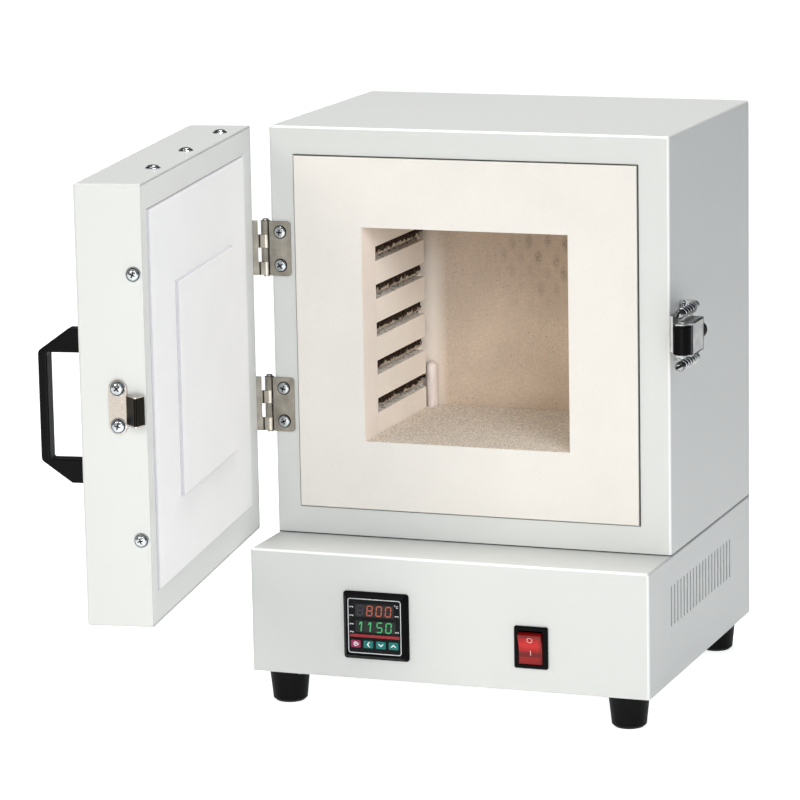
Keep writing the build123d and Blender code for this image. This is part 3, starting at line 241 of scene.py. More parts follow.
def crisp(piece):
    """Splits a smooth piece at its sharp edges."""
    piece.modifiers.new("crisp edges", "EDGE_SPLIT").split_angle = radians(38)


def lathe(profile, steps=40):
    """A closed mesh turned about Z from radius and height pairs, in millimetres."""
    bm = bmesh.new()
    rings = []
    for radius, height in profile:
        if radius < 1e-6:
            rings.append([bm.verts.new((0, 0, height))])
        else:
            angles = [2 * pi * i / steps for i in range(steps)]
            rings.append([bm.verts.new((radius * cos(a), radius * sin(a), height)) for a in angles])
    for low, high in zip(rings, rings[1:]):
        for i in range(steps):
            j = (i + 1) % steps
            corners = [low[i % len(low)], low[j % len(low)], high[j % len(high)], high[i % len(high)]]
            kept = [v for k, v in enumerate(corners) if v not in corners[:k]]
            if len(kept) > 2:
                bm.faces.new(kept)
    bmesh.ops.recalc_face_normals(bm, faces=bm.faces)
    return bm


def wire_mesh(name, runs, radius, resolution=3):
    """Round wire along one or more runs of points, all in millimetres."""
    curve = bpy.data.curves.new(name, "CURVE")
    curve.dimensions = "3D"
    curve.bevel_depth = radius * MM
    curve.bevel_resolution = resolution
    curve.use_fill_caps = True
    for run in runs:
        spline = curve.splines.new("POLY")
        spline.points.add(len(run) - 1)
        for point, place in zip(spline.points, run):
            point.co = (*(Vector(place) * MM), 1.0)
    holder = bpy.data.objects.new(name + "_curve", curve)
    mesh = bpy.data.meshes.new_from_object(holder)
    bpy.data.objects.remove(holder)
    bpy.data.curves.remove(curve)
    mesh.name = name
    return mesh


def with_boolean(bm, cutters, name):
    """The mesh of bm with each cutter's bmesh taken out of it."""
    body = bpy.data.objects.new(name, finish_bmesh(bm, name))
    bpy.context.scene.collection.objects.link(body)
    tools = []
    for cutter in cutters:
        tool = bpy.data.objects.new(name + "_tool", finish_bmesh(cutter, name + "_tool"))
        bpy.context.scene.collection.objects.link(tool)
        modifier = body.modifiers.new("cut", "BOOLEAN")
        modifier.object, modifier.solver = tool, "EXACT"
        tools.append(tool)
    bpy.context.view_layer.update()
    mesh = bpy.data.meshes.new_from_object(body.evaluated_get(bpy.context.evaluated_depsgraph_get()))
    for spent in (body, *tools):
        bpy.data.objects.remove(spent)
    return mesh


def block(bm, x, y, z):
    """Adds a box between two limits on each axis."""
    size = Vector((x[1] - x[0], y[1] - y[0], z[1] - z[0]))
    middle = Vector((x[0] + x[1], y[0] + y[1], z[0] + z[1])) / 2
    bmesh.ops.create_cube(bm, size=1.0, matrix=Matrix.Translation(middle) @ Matrix.Diagonal((*size, 1.0)))


def close_plate(bm, low, high):
    """Adds a plate between two rings of places, with outward faces."""
    low, high = ([bm.verts.new(place) for place in ring] for ring in (low, high))
    faces = [bm.faces.new(low), bm.faces.new(high)]
    for i in range(len(low)):
        j = (i + 1) % len(low)
        faces.append(bm.faces.new((low[i], low[j], high[j], high[i])))
    bmesh.ops.recalc_face_normals(bm, faces=faces)


def prism(bm, outline, y):
    """Adds a plate from X and Z pairs, between two limits on Y."""
    close_plate(bm, *([(a, level, b) for a, b in outline] for level in y))


def slab(bm, outline, z):
    """Adds a plate from X and Y pairs, between two limits on Z."""
    close_plate(bm, *([(a, b, level) for a, b in outline] for level in z))


def flat_shape(bm, outline, place):
    """Adds a flat polygon from X and Z pairs, facing -Y, moved by a matrix."""
    bm.faces.new([bm.verts.new(place @ Vector((x, 0.0, z))) for x, z in outline])


def rectangle(bm, x, z, face_y):
    flat_shape(bm, [(x[0], z[0]), (x[1], z[0]), (x[1], z[1]), (x[0], z[1])], Matrix.Translation((0, face_y, 0)))


def arc(radius, steps, start, stop):
    """Places along an arc."""
    angles = [start + (stop - start) * i / steps for i in range(steps + 1)]
    return [(radius * cos(a), radius * sin(a)) for a in angles]


def arc_band(radius, inner, steps, start, stop):
    """Four-cornered pieces of a band along an arc, whose inner radius is a share of the outer."""
    places = arc(radius, steps, start, stop)
    return [[a, b, (b[0] * inner, b[1] * inner), (a[0] * inner, a[1] * inner)] for a, b in zip(places, places[1:])]


def toward(facing):
    """A matrix that turns +Z to a direction."""
    return Vector(facing).to_track_quat("Z", "Y").to_matrix().to_4x4()


def door_place():
    """The move that opens a door piece from shut."""
    there = Matrix.Translation(PIN)
    return there @ Matrix.Rotation(-DOOR_OPEN, 4, "Z") @ there.inverted()


# Properties
class OvenCoating(bpy.types.PropertyGroup):
    """Sheet steel and its powder coat."""

    colour: FloatVectorProperty(
        name="Coat colour", description="Colour of the baked powder coat", subtype="COLOR", size=3, min=0, max=1,
        default=srgb("#d9dad7"),
    )
    roughness: FloatProperty(
        name="Coat roughness", description="How matt the powder coat is", subtype="FACTOR", min=0, max=1,
        default=0.42,
    )
    peel: FloatProperty(
        name="Orange peel", description="Size of the coat's ripples, in millimetres", min=0.5, max=10, default=2.2,
    )


class OvenBoards(bpy.types.PropertyGroup):
    """Ceramic fibre boards of the chamber and door."""

    colour: FloatVectorProperty(
        name="Board colour", description="Colour of the chamber's front board", subtype="COLOR", size=3, min=0, max=1,
        default=srgb("#ebe6df"),
    )
    hot_colour: FloatVectorProperty(
        name="Chamber colour", description="Colour of the boards that have been fired", subtype="COLOR", size=3,
        min=0, max=1, default=srgb("#cebba8"),
    )
    grain: FloatProperty(
        name="Grain", description="Size of the boards' grain, in millimetres", min=0.3, max=10, default=1.4,
    )


class OvenHeating(bpy.types.PropertyGroup):
    """Resistance wire coils."""

    wire: FloatProperty(
        name="Wire diameter", description="Diameter of the resistance wire, in millimetres", min=0.5, max=3,
        default=1.5,
    )
    pitch: FloatProperty(
        name="Coil pitch", description="Distance from turn to turn, in millimetres", min=1.5, max=8, default=4.4,
    )
    width: FloatProperty(
        name="Coil diameter", description="Outer diameter of the coil, in millimetres", min=4, max=10, default=8.0,
    )


class OvenControls(bpy.types.PropertyGroup):
    """Controller and mains switch."""

    process: FloatVectorProperty(
        name="Upper digits", description="Colour of the upper display's digits", subtype="COLOR", size=3, min=0,
        max=1, default=srgb("#93422a"),
    )
    target: FloatVectorProperty(
        name="Lower digits", description="Colour of the lower display's digits", subtype="COLOR", size=3, min=0,
        max=1, default=srgb("#33955a"),
    )
    glow: FloatProperty(
        name="Digit glow", description="Strength of the lit digits", min=0, max=5, default=0.75,
    )


class OvenStudio(bpy.types.PropertyGroup):
    """Lamps, backdrop and camera."""

    key: FloatProperty(
        name="Key lamp", description="Power of the lamp at the left", subtype="POWER", min=0, default=21.0,
    )
    high: FloatProperty(
        name="High front lamp", description="Power of the lamp above the camera's view", subtype="POWER", min=0,
        default=2.6,
    )
    low: FloatProperty(
        name="Low front lamp", description="Power of the lamp below the camera's view", subtype="POWER", min=0,
        default=2.2,
    )
    fill: FloatProperty(
        name="Fill lamp", description="Power of the lamp at the right", subtype="POWER", min=0, default=14.0,
    )
    top: FloatProperty(
        name="Top lamp", description="Power of the lamp overhead", subtype="POWER", min=0, default=30.0,
    )
    inside: FloatProperty(
        name="Inside lamp", description="Power of the reflector turned into the oven", subtype="POWER", min=0,
        default=38.0,
    )
    sky: FloatProperty(name="Room light", description="Strength of the room's even light", min=0, max=3, default=0.32)
    lens: FloatProperty(
        name="Lens", description="Focal length on a 36 mm wide sensor, in millimetres", min=20, max=400,
        default=184.1,
    )


# Materials of steel, boards and plastics
def powder_coat(name, coat, extra=None):
    """Powder coat, sprayed and baked on folded steel: an even semi-gloss white whose highlights are
    softened by a low orange peel. The peel is drawn at about 2 mm, since the real one is under 1 mm."""
    material, tree, bsdf, place = start_material(name, {"Roughness": coat.roughness, "IOR": 1.5})
    cloud = add(tree, "TexNoise", {"Scale": per_mm(90), "Detail": 3.0}, {"Vector": place})
    tones = {6: scaled(coat.colour, 0.985), 7: scaled(coat.colour, 1.01)}
    tint = add(tree, "Mix", {"data_type": "RGBA", **tones}, {0: cloud.outputs["Fac"]}).outputs[2]
    ripple = add(tree, "TexNoise", {"Scale": per_mm(coat.peel)}, {"Vector": place})
    surface(tree, bsdf, extra(tree, place, tint) if extra else tint, ripple.outputs["Fac"], 0.25, 0.04)
    return material


def in_groove(tree, place):
    """Height above the middle of the nearest groove, and depth into the chamber's side walls, in metres."""
    axes = add(tree, "SeparateXYZ", None, {"Vector": place}).outputs
    height = add(tree, "Math", {"operation": "SUBTRACT", 1: GROOVES[2] * MM}, {0: axes["Z"]})
    half = GROOVE_PITCH / 2 * MM
    height = add(tree, "Math", {"operation": "WRAP", 1: half, 2: -half}, {0: height.outputs[0]})
    away = away_from(tree, axes["X"], CHAMBER_X)
    depth = add(tree, "Math", {"operation": "SUBTRACT", 1: CHAMBER_HALF * MM}, {0: away})
    return height.outputs[0], depth.outputs[0]


def painted_fold_highlights(tree, axes, under, front, top):
    """Painted highlights on a cabinet's front right fold and its top front fold."""
    near = region(tree, (axes["Y"], front + 1.8, front + 1.3))
    beside = region(tree, (axes["X"], HALF_WIDTH - 1.7, HALF_WIDTH - 1.2))
    above = region(tree, (axes["Z"], top - 1.7, top - 1.2))
    either = add(tree, "Math", {"operation": "MAXIMUM"}, {0: beside, 1: above}).outputs[0]
    return stained(tree, under, "#fbfbf8", near, either)


def body_seam(tree, place, under):
    """A dark strip along the body's lower edge, in the seam with the base, over the painted highlights on the front
    folds.
    """
    axes = add(tree, "SeparateXYZ", None, {"Vector": place}).outputs
    under = painted_fold_highlights(tree, axes, under, BODY_FRONT, BODY_TOP)
    return stained(tree, under, "#2c2d2c", region(tree, (axes["Z"], BASE_TOP + 0.9, BASE_TOP + 0.7)))


def dark_inside(tree, place, under):
    """The base's inner faces, painted near black as painted shade, over the painted highlights on the front folds."""
    axes = add(tree, "SeparateXYZ", None, {"Vector": place}).outputs
    under = painted_fold_highlights(tree, axes, under, FRONT, BASE_TOP)
    sideways = add(tree, "Math", {"operation": "ABSOLUTE"}, {0: axes["X"]}).outputs[0]
    # Painted shade: the inner faces are painted near black
    inside = region(
        tree, (sideways, HALF_WIDTH - 0.5, HALF_WIDTH - 0.8), (axes["Y"], FRONT + 0.5, FRONT + 0.8),
        (axes["Z"], BASE_TOP - 0.5, BASE_TOP - 0.8),
    )
    return stained(tree, under, "#222325", inside)


def lined_mouth(tree, place, under):
    """The front board's window, bare and sandy like the hearth, and painted shade on the board's outer edge, in the
    gap round it.
    """
    axes = add(tree, "SeparateXYZ", None, {"Vector": place}).outputs
    grit = add(tree, "TexNoise", {"Scale": per_mm(1.1), "Detail": 4.0, "Roughness": 0.7}, {"Vector": place})
    sand = add(tree, "ValToRGB", {"stops": [(0.35, "#dccbb8"), (0.65, "#fbeedd")]}, {"Fac": grit.outputs["Fac"]})
    deep = region(tree, (axes["Y"], BODY_FRONT - 1.2, BODY_FRONT - 0.8))
    lined = add(tree, "Mix", {"data_type": "RGBA"}, {0: deep, 6: under, 7: sand.outputs[0]})
    across, up = away_from(tree, axes["X"], CHAMBER_X), away_from(tree, axes["Z"], CHAMBER_Z)
    outward = add(tree, "Math", {"operation": "MAXIMUM"}, {0: across, 1: up})
    # Painted shade on the board's outer edge, where it meets the gap
    return stained(tree, lined.outputs[2], "#86837c", region(tree, (outward.outputs[0], 128.75, 128.9)))


def groove_stain_and_shade(tree, place, under):
    """Dark brown deep in the grooves, partly fire stain and partly painted shade, with a ragged edge above their
    lower lips, which are painted pale as painted light.
    """
    height, depth = in_groove(tree, place)
    rag = add(tree, "TexNoise", {"Scale": per_mm(3.2), "Detail": 4.0, "Roughness": 0.7}, {"Vector": place})
    lifted = jittered(tree, height, rag.outputs["Fac"], 4.5)
    # The lower lips are painted pale as painted light; the dark brown above them is fire stain and painted shade
    lit_lips = stained(tree, under, "#fffaf0", region(tree, (height, -4.6, -5.4), (depth, 0.2, 0.5)))
    return stained(tree, lit_lips, "#2b1c13", region(tree, (lifted, -4.9, -4.1), (depth, 0.2, 0.9)))


def soot_and_painted_shading(tree, place, under):
    """Rows of faint soot marks over the upper right of the back board, where the door's heat escapes, with painted
    shade along the top and painted light on the strip beside the left panel.
    """
    axes = add(tree, "SeparateXYZ", None, {"Vector": place}).outputs
    # Marks in staggered rows, this far apart across and up
    across, up = 13.5 * MM, 24 * MM
    turned = {"Scale": (sqrt(2) / across, 0.0, sqrt(2) / up), "Rotation": (0.0, pi / 4, 0.0)}
    rows = add(tree, "Mapping", turned, {"Vector": place})
    marks = add(tree, "TexVoronoi", {"Scale": 1.0, "Randomness": 0.3}, {"Vector": rows.outputs[0]})
    fade = {"From Min": 0.1, "From Max": 0.42, "To Min": 1.0, "To Max": 0.0}
    spots = add(tree, "MapRange", fade, {"Value": marks.outputs["Distance"]}).outputs[0]
    grain = add(tree, "TexNoise", {"Scale": per_mm(1.5), "Detail": 4.0, "Roughness": 0.7}, {"Vector": place})
    dots = add(tree, "MapRange", {"From Min": 0.4, "From Max": 0.54}, {"Value": grain.outputs["Fac"]}).outputs[0]
    # The top is painted darker and browner as painted shade, and the strip beside the left panel is painted paler as
    # painted light
    under = stained(tree, under, "#8a745c", region(tree, (axes["Z"], 290, 340)), share=0.18)
    beside = region(tree, (axes["X"], -66, -77), (axes["Z"], 335, 300))
    under = stained(tree, under, "#f6ebdf", beside, share=0.85)
    corner = region(tree, (axes["X"], -45, 10), (axes["Z"], 250, 300))
    return stained(tree, under, "#4a3526", spots, dots, corner, share=0.5)


def fibre_board(name, colour, grain, contrast=0.05, stain=0.03, specks=0.0, rough=0.3, extra=None):
    """Vacuum-formed ceramic fibre board: dry, chalky and quite matt, with short fibres and pores that catch
    the light, a few dark specks of slag, and slow changes of tone from firing."""
    material, tree, bsdf, place = start_material(name, {"Roughness": 0.95, "Specular IOR Level": 0.2})
    short = {"Scale": per_mm(grain), "Detail": 5.0, "Roughness": 0.65, "Distortion": 0.4}
    fibres = add(tree, "TexNoise", short, {"Vector": place}).outputs["Fac"]
    cloud = add(tree, "TexNoise", {"Scale": per_mm(38), "Detail": 4.0}, {"Vector": place})
    cloud = add(tree, "MapRange", {"From Min": 0.3, "From Max": 0.7}, {"Value": cloud.outputs["Fac"]})
    tones = {6: scaled(colour, 1 - stain), 7: scaled(colour, 1 + stain)}
    light = add(tree, "Mix", {"data_type": "RGBA", **tones}, {0: cloud.outputs[0]})
    ends = {"From Min": 0.3, "From Max": 0.7, "To Min": 1 - contrast, "To Max": 1 + contrast}
    shade = add(tree, "MapRange", ends, {"Value": fibres})
    last = add(
        tree, "Mix", {"data_type": "RGBA", "blend_type": "MULTIPLY", 0: 1.0},
        {6: light.outputs[2], 7: shade.outputs[0]},
    ).outputs[2]
    if specks:
        pores = add(tree, "TexVoronoi", {"Scale": per_mm(3.6), "Randomness": 1.0}, {"Vector": place})
        ends = {"From Min": 0.07, "From Max": 0.16, "To Min": 1.0, "To Max": 0.0}
        pores = add(tree, "MapRange", ends, {"Value": pores.outputs["Distance"]}).outputs[0]
        patch = add(tree, "TexNoise", {"Scale": per_mm(26)}, {"Vector": place})
        ends = {"From Min": 0.45, "From Max": 0.62, "To Max": specks}
        patch = add(tree, "MapRange", ends, {"Value": patch.outputs["Fac"]}).outputs[0]
        last = stained(tree, last, "#6b5848", pores, patch)
    surface(tree, bsdf, extra(tree, place, last) if extra else last, fibres, rough, 0.2)
    return material


def blanket(name):
    """Ceramic fibre blanket, needled: woolly, white and soft, with rolling folds and loose fibres."""
    material, tree, bsdf, place = start_material(name, {"Roughness": 1.0, "Specular IOR Level": 0.1})
    woolly = {"Scale": per_mm(6), "Detail": 8.0, "Roughness": 0.7, "Distortion": 1.0}
    wool = add(tree, "TexNoise", woolly, {"Vector": place}).outputs["Fac"]
    tone = add(tree, "ValToRGB", {"stops": [(0.3, "#cfcbc3"), (0.7, "#f1eee8")]}, {"Fac": wool})
    surface(tree, bsdf, tone.outputs[0], wool, 0.8, 1.5)
    return material


def barrel_shade_lines(tree, place, under):
    """Painted shade in the corners where the hinge leaves curl round the pin."""
    axes = add(tree, "SeparateXYZ", None, {"Vector": place}).outputs
    away = away_from(tree, axes["X"], PIN.x)
    return stained(tree, under, "#2b2824", region(tree, (away, 2.5, 3.1), (away, 4.2, 3.9)))


def satin_metal(name, dark, light, roughness, grain=0.5, stretch=(1.0, 1.0, 0.06), bump=0.15, extra=None):
    """Plated sheet steel: metallic, with fine rolling marks along one way and slow clouds from plating.
    The marks are drawn at half a millimetre, coarser than the real ones."""
    material, tree, bsdf, place = start_material(name, {"Metallic": 1.0, "Roughness": roughness})
    along = add(tree, "Mapping", {"Scale": stretch}, {"Vector": place}).outputs[0]
    rolled = {"Scale": per_mm(grain), "Detail": 3.0, "Roughness": 0.6}
    marks = add(tree, "TexNoise", rolled, {"Vector": along}).outputs["Fac"]
    cloud = add(tree, "TexNoise", {"Scale": per_mm(9), "Detail": 3.0}, {"Vector": place})
    both = add(tree, "Math", {"operation": "MULTIPLY_ADD", 1: 0.5}, {0: marks, 2: cloud.outputs["Fac"]})
    tone = add(tree, "ValToRGB", {"stops": [(0.5, dark), (1.0, light)]}, {"Fac": both.outputs[0]}).outputs[0]
    ends = {"To Min": roughness * 0.8, "To Max": min(1.0, roughness * 1.25)}
    gloss = add(tree, "MapRange", ends, {"Value": marks})
    tree.links.new(gloss.outputs[0], bsdf.inputs["Roughness"])
    surface(tree, bsdf, extra(tree, place, tone) if extra else tone, marks, bump, 0.05)
    return material


def moulded(name, colour, roughness, texture=0.8, depth=0.06, gloss=0.25):
    """Injection-moulded plastic: even colour, with the fine spark texture of its mould."""
    material, tree, bsdf, place = start_material(name, {"Roughness": roughness, "Specular IOR Level": gloss})
    spark = add(tree, "TexNoise", {"Scale": per_mm(texture), "Detail": 3.0}, {"Vector": place}).outputs["Fac"]
    tones = {6: linear(colour), 7: scaled(linear(colour), 1.3, 0.004)}
    tone = add(tree, "Mix", {"data_type": "RGBA", **tones}, {0: spark})
    surface(tree, bsdf, tone.outputs[2], spark, 0.4, depth)
    return material


def lit_digits(name, colour, glow):
    """Digits of a light-emitting display behind a tinted film: they glow a little more than their surroundings."""
    material, tree, bsdf, place = start_material(name, {"Roughness": 0.4, "Emission Strength": glow})
    cloud = add(tree, "TexNoise", {"Scale": per_mm(1.2), "Detail": 1.0}, {"Vector": place})
    tones = {6: scaled(colour, 0.8), 7: scaled(colour, 1.0)}
    tone = add(tree, "Mix", {"data_type": "RGBA", **tones}, {0: cloud.outputs["Fac"]})
    for socket in ("Base Color", "Emission Color"):
        tree.links.new(tone.outputs[2], bsdf.inputs[socket])
    return material


def oxidised_wire(name):
    """Resistance wire after many firings: nearly black oxide scale, rough and flaking to grey, with pale ceramic
    cement dust and painted light on the lower side of its turns."""
    material, tree, bsdf, place = start_material(name, {"Roughness": 0.85, "Specular IOR Level": 0.3})
    flaky = {"Scale": per_mm(1.6), "Detail": 6.0, "Roughness": 0.7}
    scale = add(tree, "TexNoise", flaky, {"Vector": place}).outputs["Fac"]
    stops = [(0.40, "#2c1f15"), (0.60, "#5b4836"), (0.8, "#a08a70")]
    tone = add(tree, "ValToRGB", {"stops": stops}, {"Fac": scale}).outputs[0]
    height, depth = in_groove(tree, place)
    rag = add(tree, "TexNoise", {"Scale": per_mm(5.0), "Detail": 3.0, "Roughness": 0.6}, {"Vector": place})
    lifted = jittered(tree, height, rag.outputs["Fac"], 6.0)
    # Pale on the lower side of the turns: partly cement dust, partly painted light
    tone = stained(tree, tone, "#d2bfa8", region(tree, (lifted, -0.2, -1.4), (depth, 6.6, 4.6)))
    surface(tree, bsdf, tone, scale, 0.9, 0.3)
    return material


# Operators
class OVEN_OT_cabinets(bpy.types.Operator):
    """Coats the base, the body, their rear panels and the door's steel"""

    bl_idname = "oven.cabinets"
    bl_label = "Coat cabinets and door"

    def execute(self, context):
        coat = context.scene.oven_coating
        white = powder_coat("white_powder_coat", coat)
        paint(white, "base_rear_panel", "body_rear_panel", "door_shell", "door_inner_frame")
        for node, extra in (("body_shell", body_seam), ("base_cabinet", dark_inside)):
            paint(powder_coat("white_powder_coat_" + node, coat, extra), node)
        sheet = satin_metal("galvanised_steel_sheet", "#9da1a3", "#c9cccd", 0.45, grain=4.0, stretch=(1, 1, 1))
        paint(sheet, "base_bottom_plate", "relay_heatsink")
        return {"FINISHED"}


class OVEN_OT_boards(bpy.types.Operator):
    """Gives the chamber's and the door's ceramic boards their grain, tone and specks"""

    bl_idname = "oven.boards"
    bl_label = "Finish ceramic boards"

    def execute(self, context):
        board = context.scene.oven_boards
        front = fibre_board(
            "ceramic_fibre_board", board.colour, 0.9, contrast=0.03, stain=0.015, specks=0.12, extra=lined_mouth
        )
        paint(front, "front_board")
        walls = fibre_board("fired_heater_board", srgb("#f6ece0"), board.grain, specks=0.4, extra=groove_stain_and_shade)
        paint(walls, "heater_panel_left", "heater_panel_right")
        fired = fibre_board(
            "fired_ceramic_board", board.hot_colour, 1.3, contrast=0.15, stain=0.08, specks=0.8, rough=0.5,
            extra=soot_and_painted_shading,
        )
        paint(fired, "back_board", "roof_board", "floor_board")
        hearth = fibre_board(
            "sanded_hearth_plate", srgb("#e6dccf"), 1.1, contrast=0.6, stain=0.02, specks=0.1, rough=0.8
        )
        paint(hearth, "hearth_plate")
        smooth = fibre_board("painted_door_board", srgb("#ecebea"), 2.6, contrast=0.012, stain=0.01, rough=0.12)
        # The door boards' edge faces are grey as painted shade
        cut = fibre_board("cut_board_edge", srgb("#b4b2b6"), 1.2, contrast=0.06, stain=0.02, rough=0.4)
        self.door_boards(smooth, cut)
        lining = fibre_board("mouth_lining_board", srgb("#f3e7dc"), 0.9, stain=0.02, specks=0.1)
        self.mouth_lining(lining, hearth)
        for name in ("front_board", "heater_panel_left", "heater_panel_right"):
            bevelled(NODES[name], 0.5, 50)
        paint(blanket("ceramic_fibre_blanket"), "insulation_jacket", "door_insulation")
        return {"FINISHED"}

    def mouth_lining(self, pale, hearth):
        """The inner faces of the chamber's mouth, which overlap the first centimetre of the heater panels."""
        near, seam, far = BODY_FRONT - 1.4, -58.7, -50.5
        half = CHAMBER_HALF + 0.5
        low, high = CHAMBER_Z - half, CHAMBER_Z + half
        left, right = CHAMBER_X - CHAMBER_HALF, CHAMBER_X + CHAMBER_HALF
        for name, material, x, y, z in (
            ("left", pale, (left - 0.2, left + 0.25), (near, far), (low, high)),
            ("right", pale, (right - 0.25, right + 0.2), (near, far), (low, high)),
            ("top", pale, (left, right), (near, far), (high - 0.25, high + 0.2)),
            ("sill", hearth, (left, right), (near, seam), (low - 0.2, low + 0.1)),
        ):
            bm = bmesh.new()
            block(bm, x, y, z)
            mesh = in_metres(bm, "mouth_lining_" + name)
            piece = as_piece(mesh, material, "oven", smooth=False)
            bpy.data.collections[REFLECTOR].objects.link(piece)

    def door_boards(self, smooth, cut):
        """The door's two boards, painted on their faces, with grey painted shade on their edge faces, which are
        rounded over.
        """
        boards = (
            ("door_face_board", (DOOR_LEFT + 27, DOOR_LEFT + 285), (-20.0, 1.6), (141.0, 397.0)),
            ("door_plug", (-77.4, 73.4), (1.4, 4.0), (192.1, 339.9)),
        )
        for node, x, raised, z in boards:
            bm = bmesh.new()
            block(bm, x, (DOOR_INNER + raised[0], DOOR_INNER + raised[1]), z)
            near = [edge for edge in bm.edges if all(v.co.y > DOOR_INNER + raised[1] - 0.1 for v in edge.verts)]
            bmesh.ops.bevel(bm, geom=near, offset=0.9, segments=3, profile=0.5, affect="EDGES")
            # Faces toward the chamber keep the white; the edge faces take the grey painted shade
            for face in bm.faces:
                face.material_index = 0 if face.normal.y > 0.75 else 1
            bmesh.ops.transform(bm, matrix=door_place(), verts=bm.verts)
            mesh = in_metres(bm, node + "_painted")
            piece = as_piece(mesh, smooth, "door", [node], smooth=False)
            piece.data.materials.append(cut)
            bpy.data.collections[REFLECTOR].objects.link(piece)


class OVEN_OT_coils(bpy.types.Operator):
    """Winds the heating coils in the grooves of both heater panels"""

    bl_idname = "oven.coils"
    bl_label = "Wind heating coils"

    def execute(self, context):
        material = oxidised_wire("oxidised_resistance_wire")
        for side, sign in (("left", -1), ("right", 1)):
            run = self.wound(context.scene.oven_heating, CHAMBER_X + sign * (CHAMBER_HALF + COIL_DEPTH))
            wire = context.scene.oven_heating.wire
            mesh = wire_mesh("heating_coil_" + side + "_wound", [run], wire / 2, 2)
            as_piece(mesh, material, "oven", ["heating_coil_" + side])
        return {"FINISHED"}

    def wound(self, heating, x):
        """One panel's wire: a coil in each groove, bent over from groove to groove, with a tail at each end."""
        start, stop, back, steps = -52.0, 52.5, 124.0, 14
        radius = heating.width / 2 - heating.wire / 2
        turns = int((stop - start) / heating.pitch)
        run = []
        for row, z in enumerate(GROOVES):
            places = []
            for i in range(turns * steps + 1):
                along = start + (stop - start) * i / (turns * steps)
                shake = noise.noise_vector(Vector((along * 0.11, row * 7.0, x))) * 0.5
                angle = 2 * pi * i / steps + 1.1 * noise.noise(Vector((along * 0.2, row * 3.0, 1.0)))
                places.append((
                    x + radius * cos(angle) + shake.x, along + 0.6 * shake.y,
                    z + 0.4 + radius * sin(angle) + shake.z,
                ))
            tail = [(x, stop + 4.0, z), (x, stop + 8.0, z), (x, back, z)]
            if row == 0:
                places += tail
                places.reverse()
            else:
                bend = start - 2.0 if row % 2 == 1 else stop + 2.0
                if row % 2 == 0:
                    places.reverse()
                run += [(x, bend, run[-1][2] + 3.0), (x, bend, z - 3.0)]
            if row == len(GROOVES) - 1:
                if places[-1][1] < 0:
                    places.reverse()
                places += tail
            run += places
        return run


class OVEN_OT_probe(bpy.types.Operator):
    """Finishes the thermocouple's tube, its head and the ceramic terminals"""

    bl_idname = "oven.probe"
    bl_label = "Finish thermocouple"

    def execute(self, context):
        material, tree, bsdf, place = start_material("sintered_alumina", {"Roughness": 0.5, "IOR": 1.6})
        # Alumina, extruded and fired: dense off-white with a faint draw along the tube
        along = add(tree, "Mapping", {"Scale": (1.0, 1.0, 0.15)}, {"Vector": place})
        draw = add(tree, "TexNoise", {"Scale": per_mm(1.5), "Detail": 3.0}, {"Vector": along.outputs[0]})
        stops = [(0.35, "#dccfc8"), (0.65, "#ecdfd8")]
        tone = add(tree, "ValToRGB", {"stops": stops}, {"Fac": draw.outputs["Fac"]})
        tree.links.new(tone.outputs[0], bsdf.inputs["Base Color"])
        paint(material, "thermocouple_sheath", "thermocouple_head", "element_terminals")
        return {"FINISHED"}


# How far prints stand out from the face under them, in millimetres
PRINT_LIFT = 0.06
# Each digit's lit segments, and the width, height and thickness that they are drawn in
SEGMENTS = {"0": "abcdef", "1": "ij", "5": "afgcd", "8": "abcdefg"}
DIGIT = (3.9, 7.0, 0.85)


def segment_shape(letter):
    """The outline of one display segment, from the digit's middle."""
    w, h, t = (size / 2 for size in DIGIT)
    gap = 0.12
    flat = {"a": h, "g": 0.0, "d": -h}
    if letter in flat:
        z, reach = flat[letter], w - gap
        return [
            (-reach, z), (-reach + t, z + t), (reach - t, z + t), (reach, z), (reach - t, z - t), (-reach + t, z - t),
        ]
    if letter == "i":
        return [(-t, -h), (t, -h), (t, h), (-t, h)]
    if letter == "j":
        return [(-t - 1.7, h - 2.0), (-t - 0.9, h - 2.2), (-t, h - 0.9), (-t, h), (-t - 0.8, h)]
    x = w if letter in "bc" else -w
    low, high = (gap, h - gap) if letter in "bf" else (gap - h, -gap)
    return [(x, low), (x + t, low + t), (x + t, high - t), (x, high), (x - t, high - t), (x - t, low + t)]


def digits_mesh(name, text, x, z, pitch, lean=0.1):
    bm = bmesh.new()
    for i, digit in enumerate(text):
        place = Matrix.Translation((x + i * pitch, CONTROL.y - PRINT_LIFT - 0.03, z))
        for letter in SEGMENTS[digit]:
            flat_shape(bm, [(px + lean * pz, pz) for px, pz in segment_shape(letter)], place)
    return in_metres(bm, name)


def frame_outline(bm, half_w, half_h, radius, line, face_y):
    """Adds a printed line along a rounded rectangle round the controller's middle."""
    corners = [(1, 1, 0), (-1, 1, 1), (-1, -1, 2), (1, -1, 3)]
    rings = []
    for inset in (0.0, line):
        ring = []
        for sx, sz, quarter in corners:
            x, z = CONTROL.x + sx * (half_w - radius), CONTROL.z + sz * (half_h - radius)
            for px, pz in arc(radius - inset, 6, quarter * pi / 2, (quarter + 1) * pi / 2):
                ring.append(bm.verts.new((x + px, face_y, z + pz)))
        rings.append(ring)
    outer, inner = rings
    for i in range(len(outer)):
        j = (i + 1) % len(outer)
        bm.faces.new((outer[i], outer[j], inner[j], inner[i]))


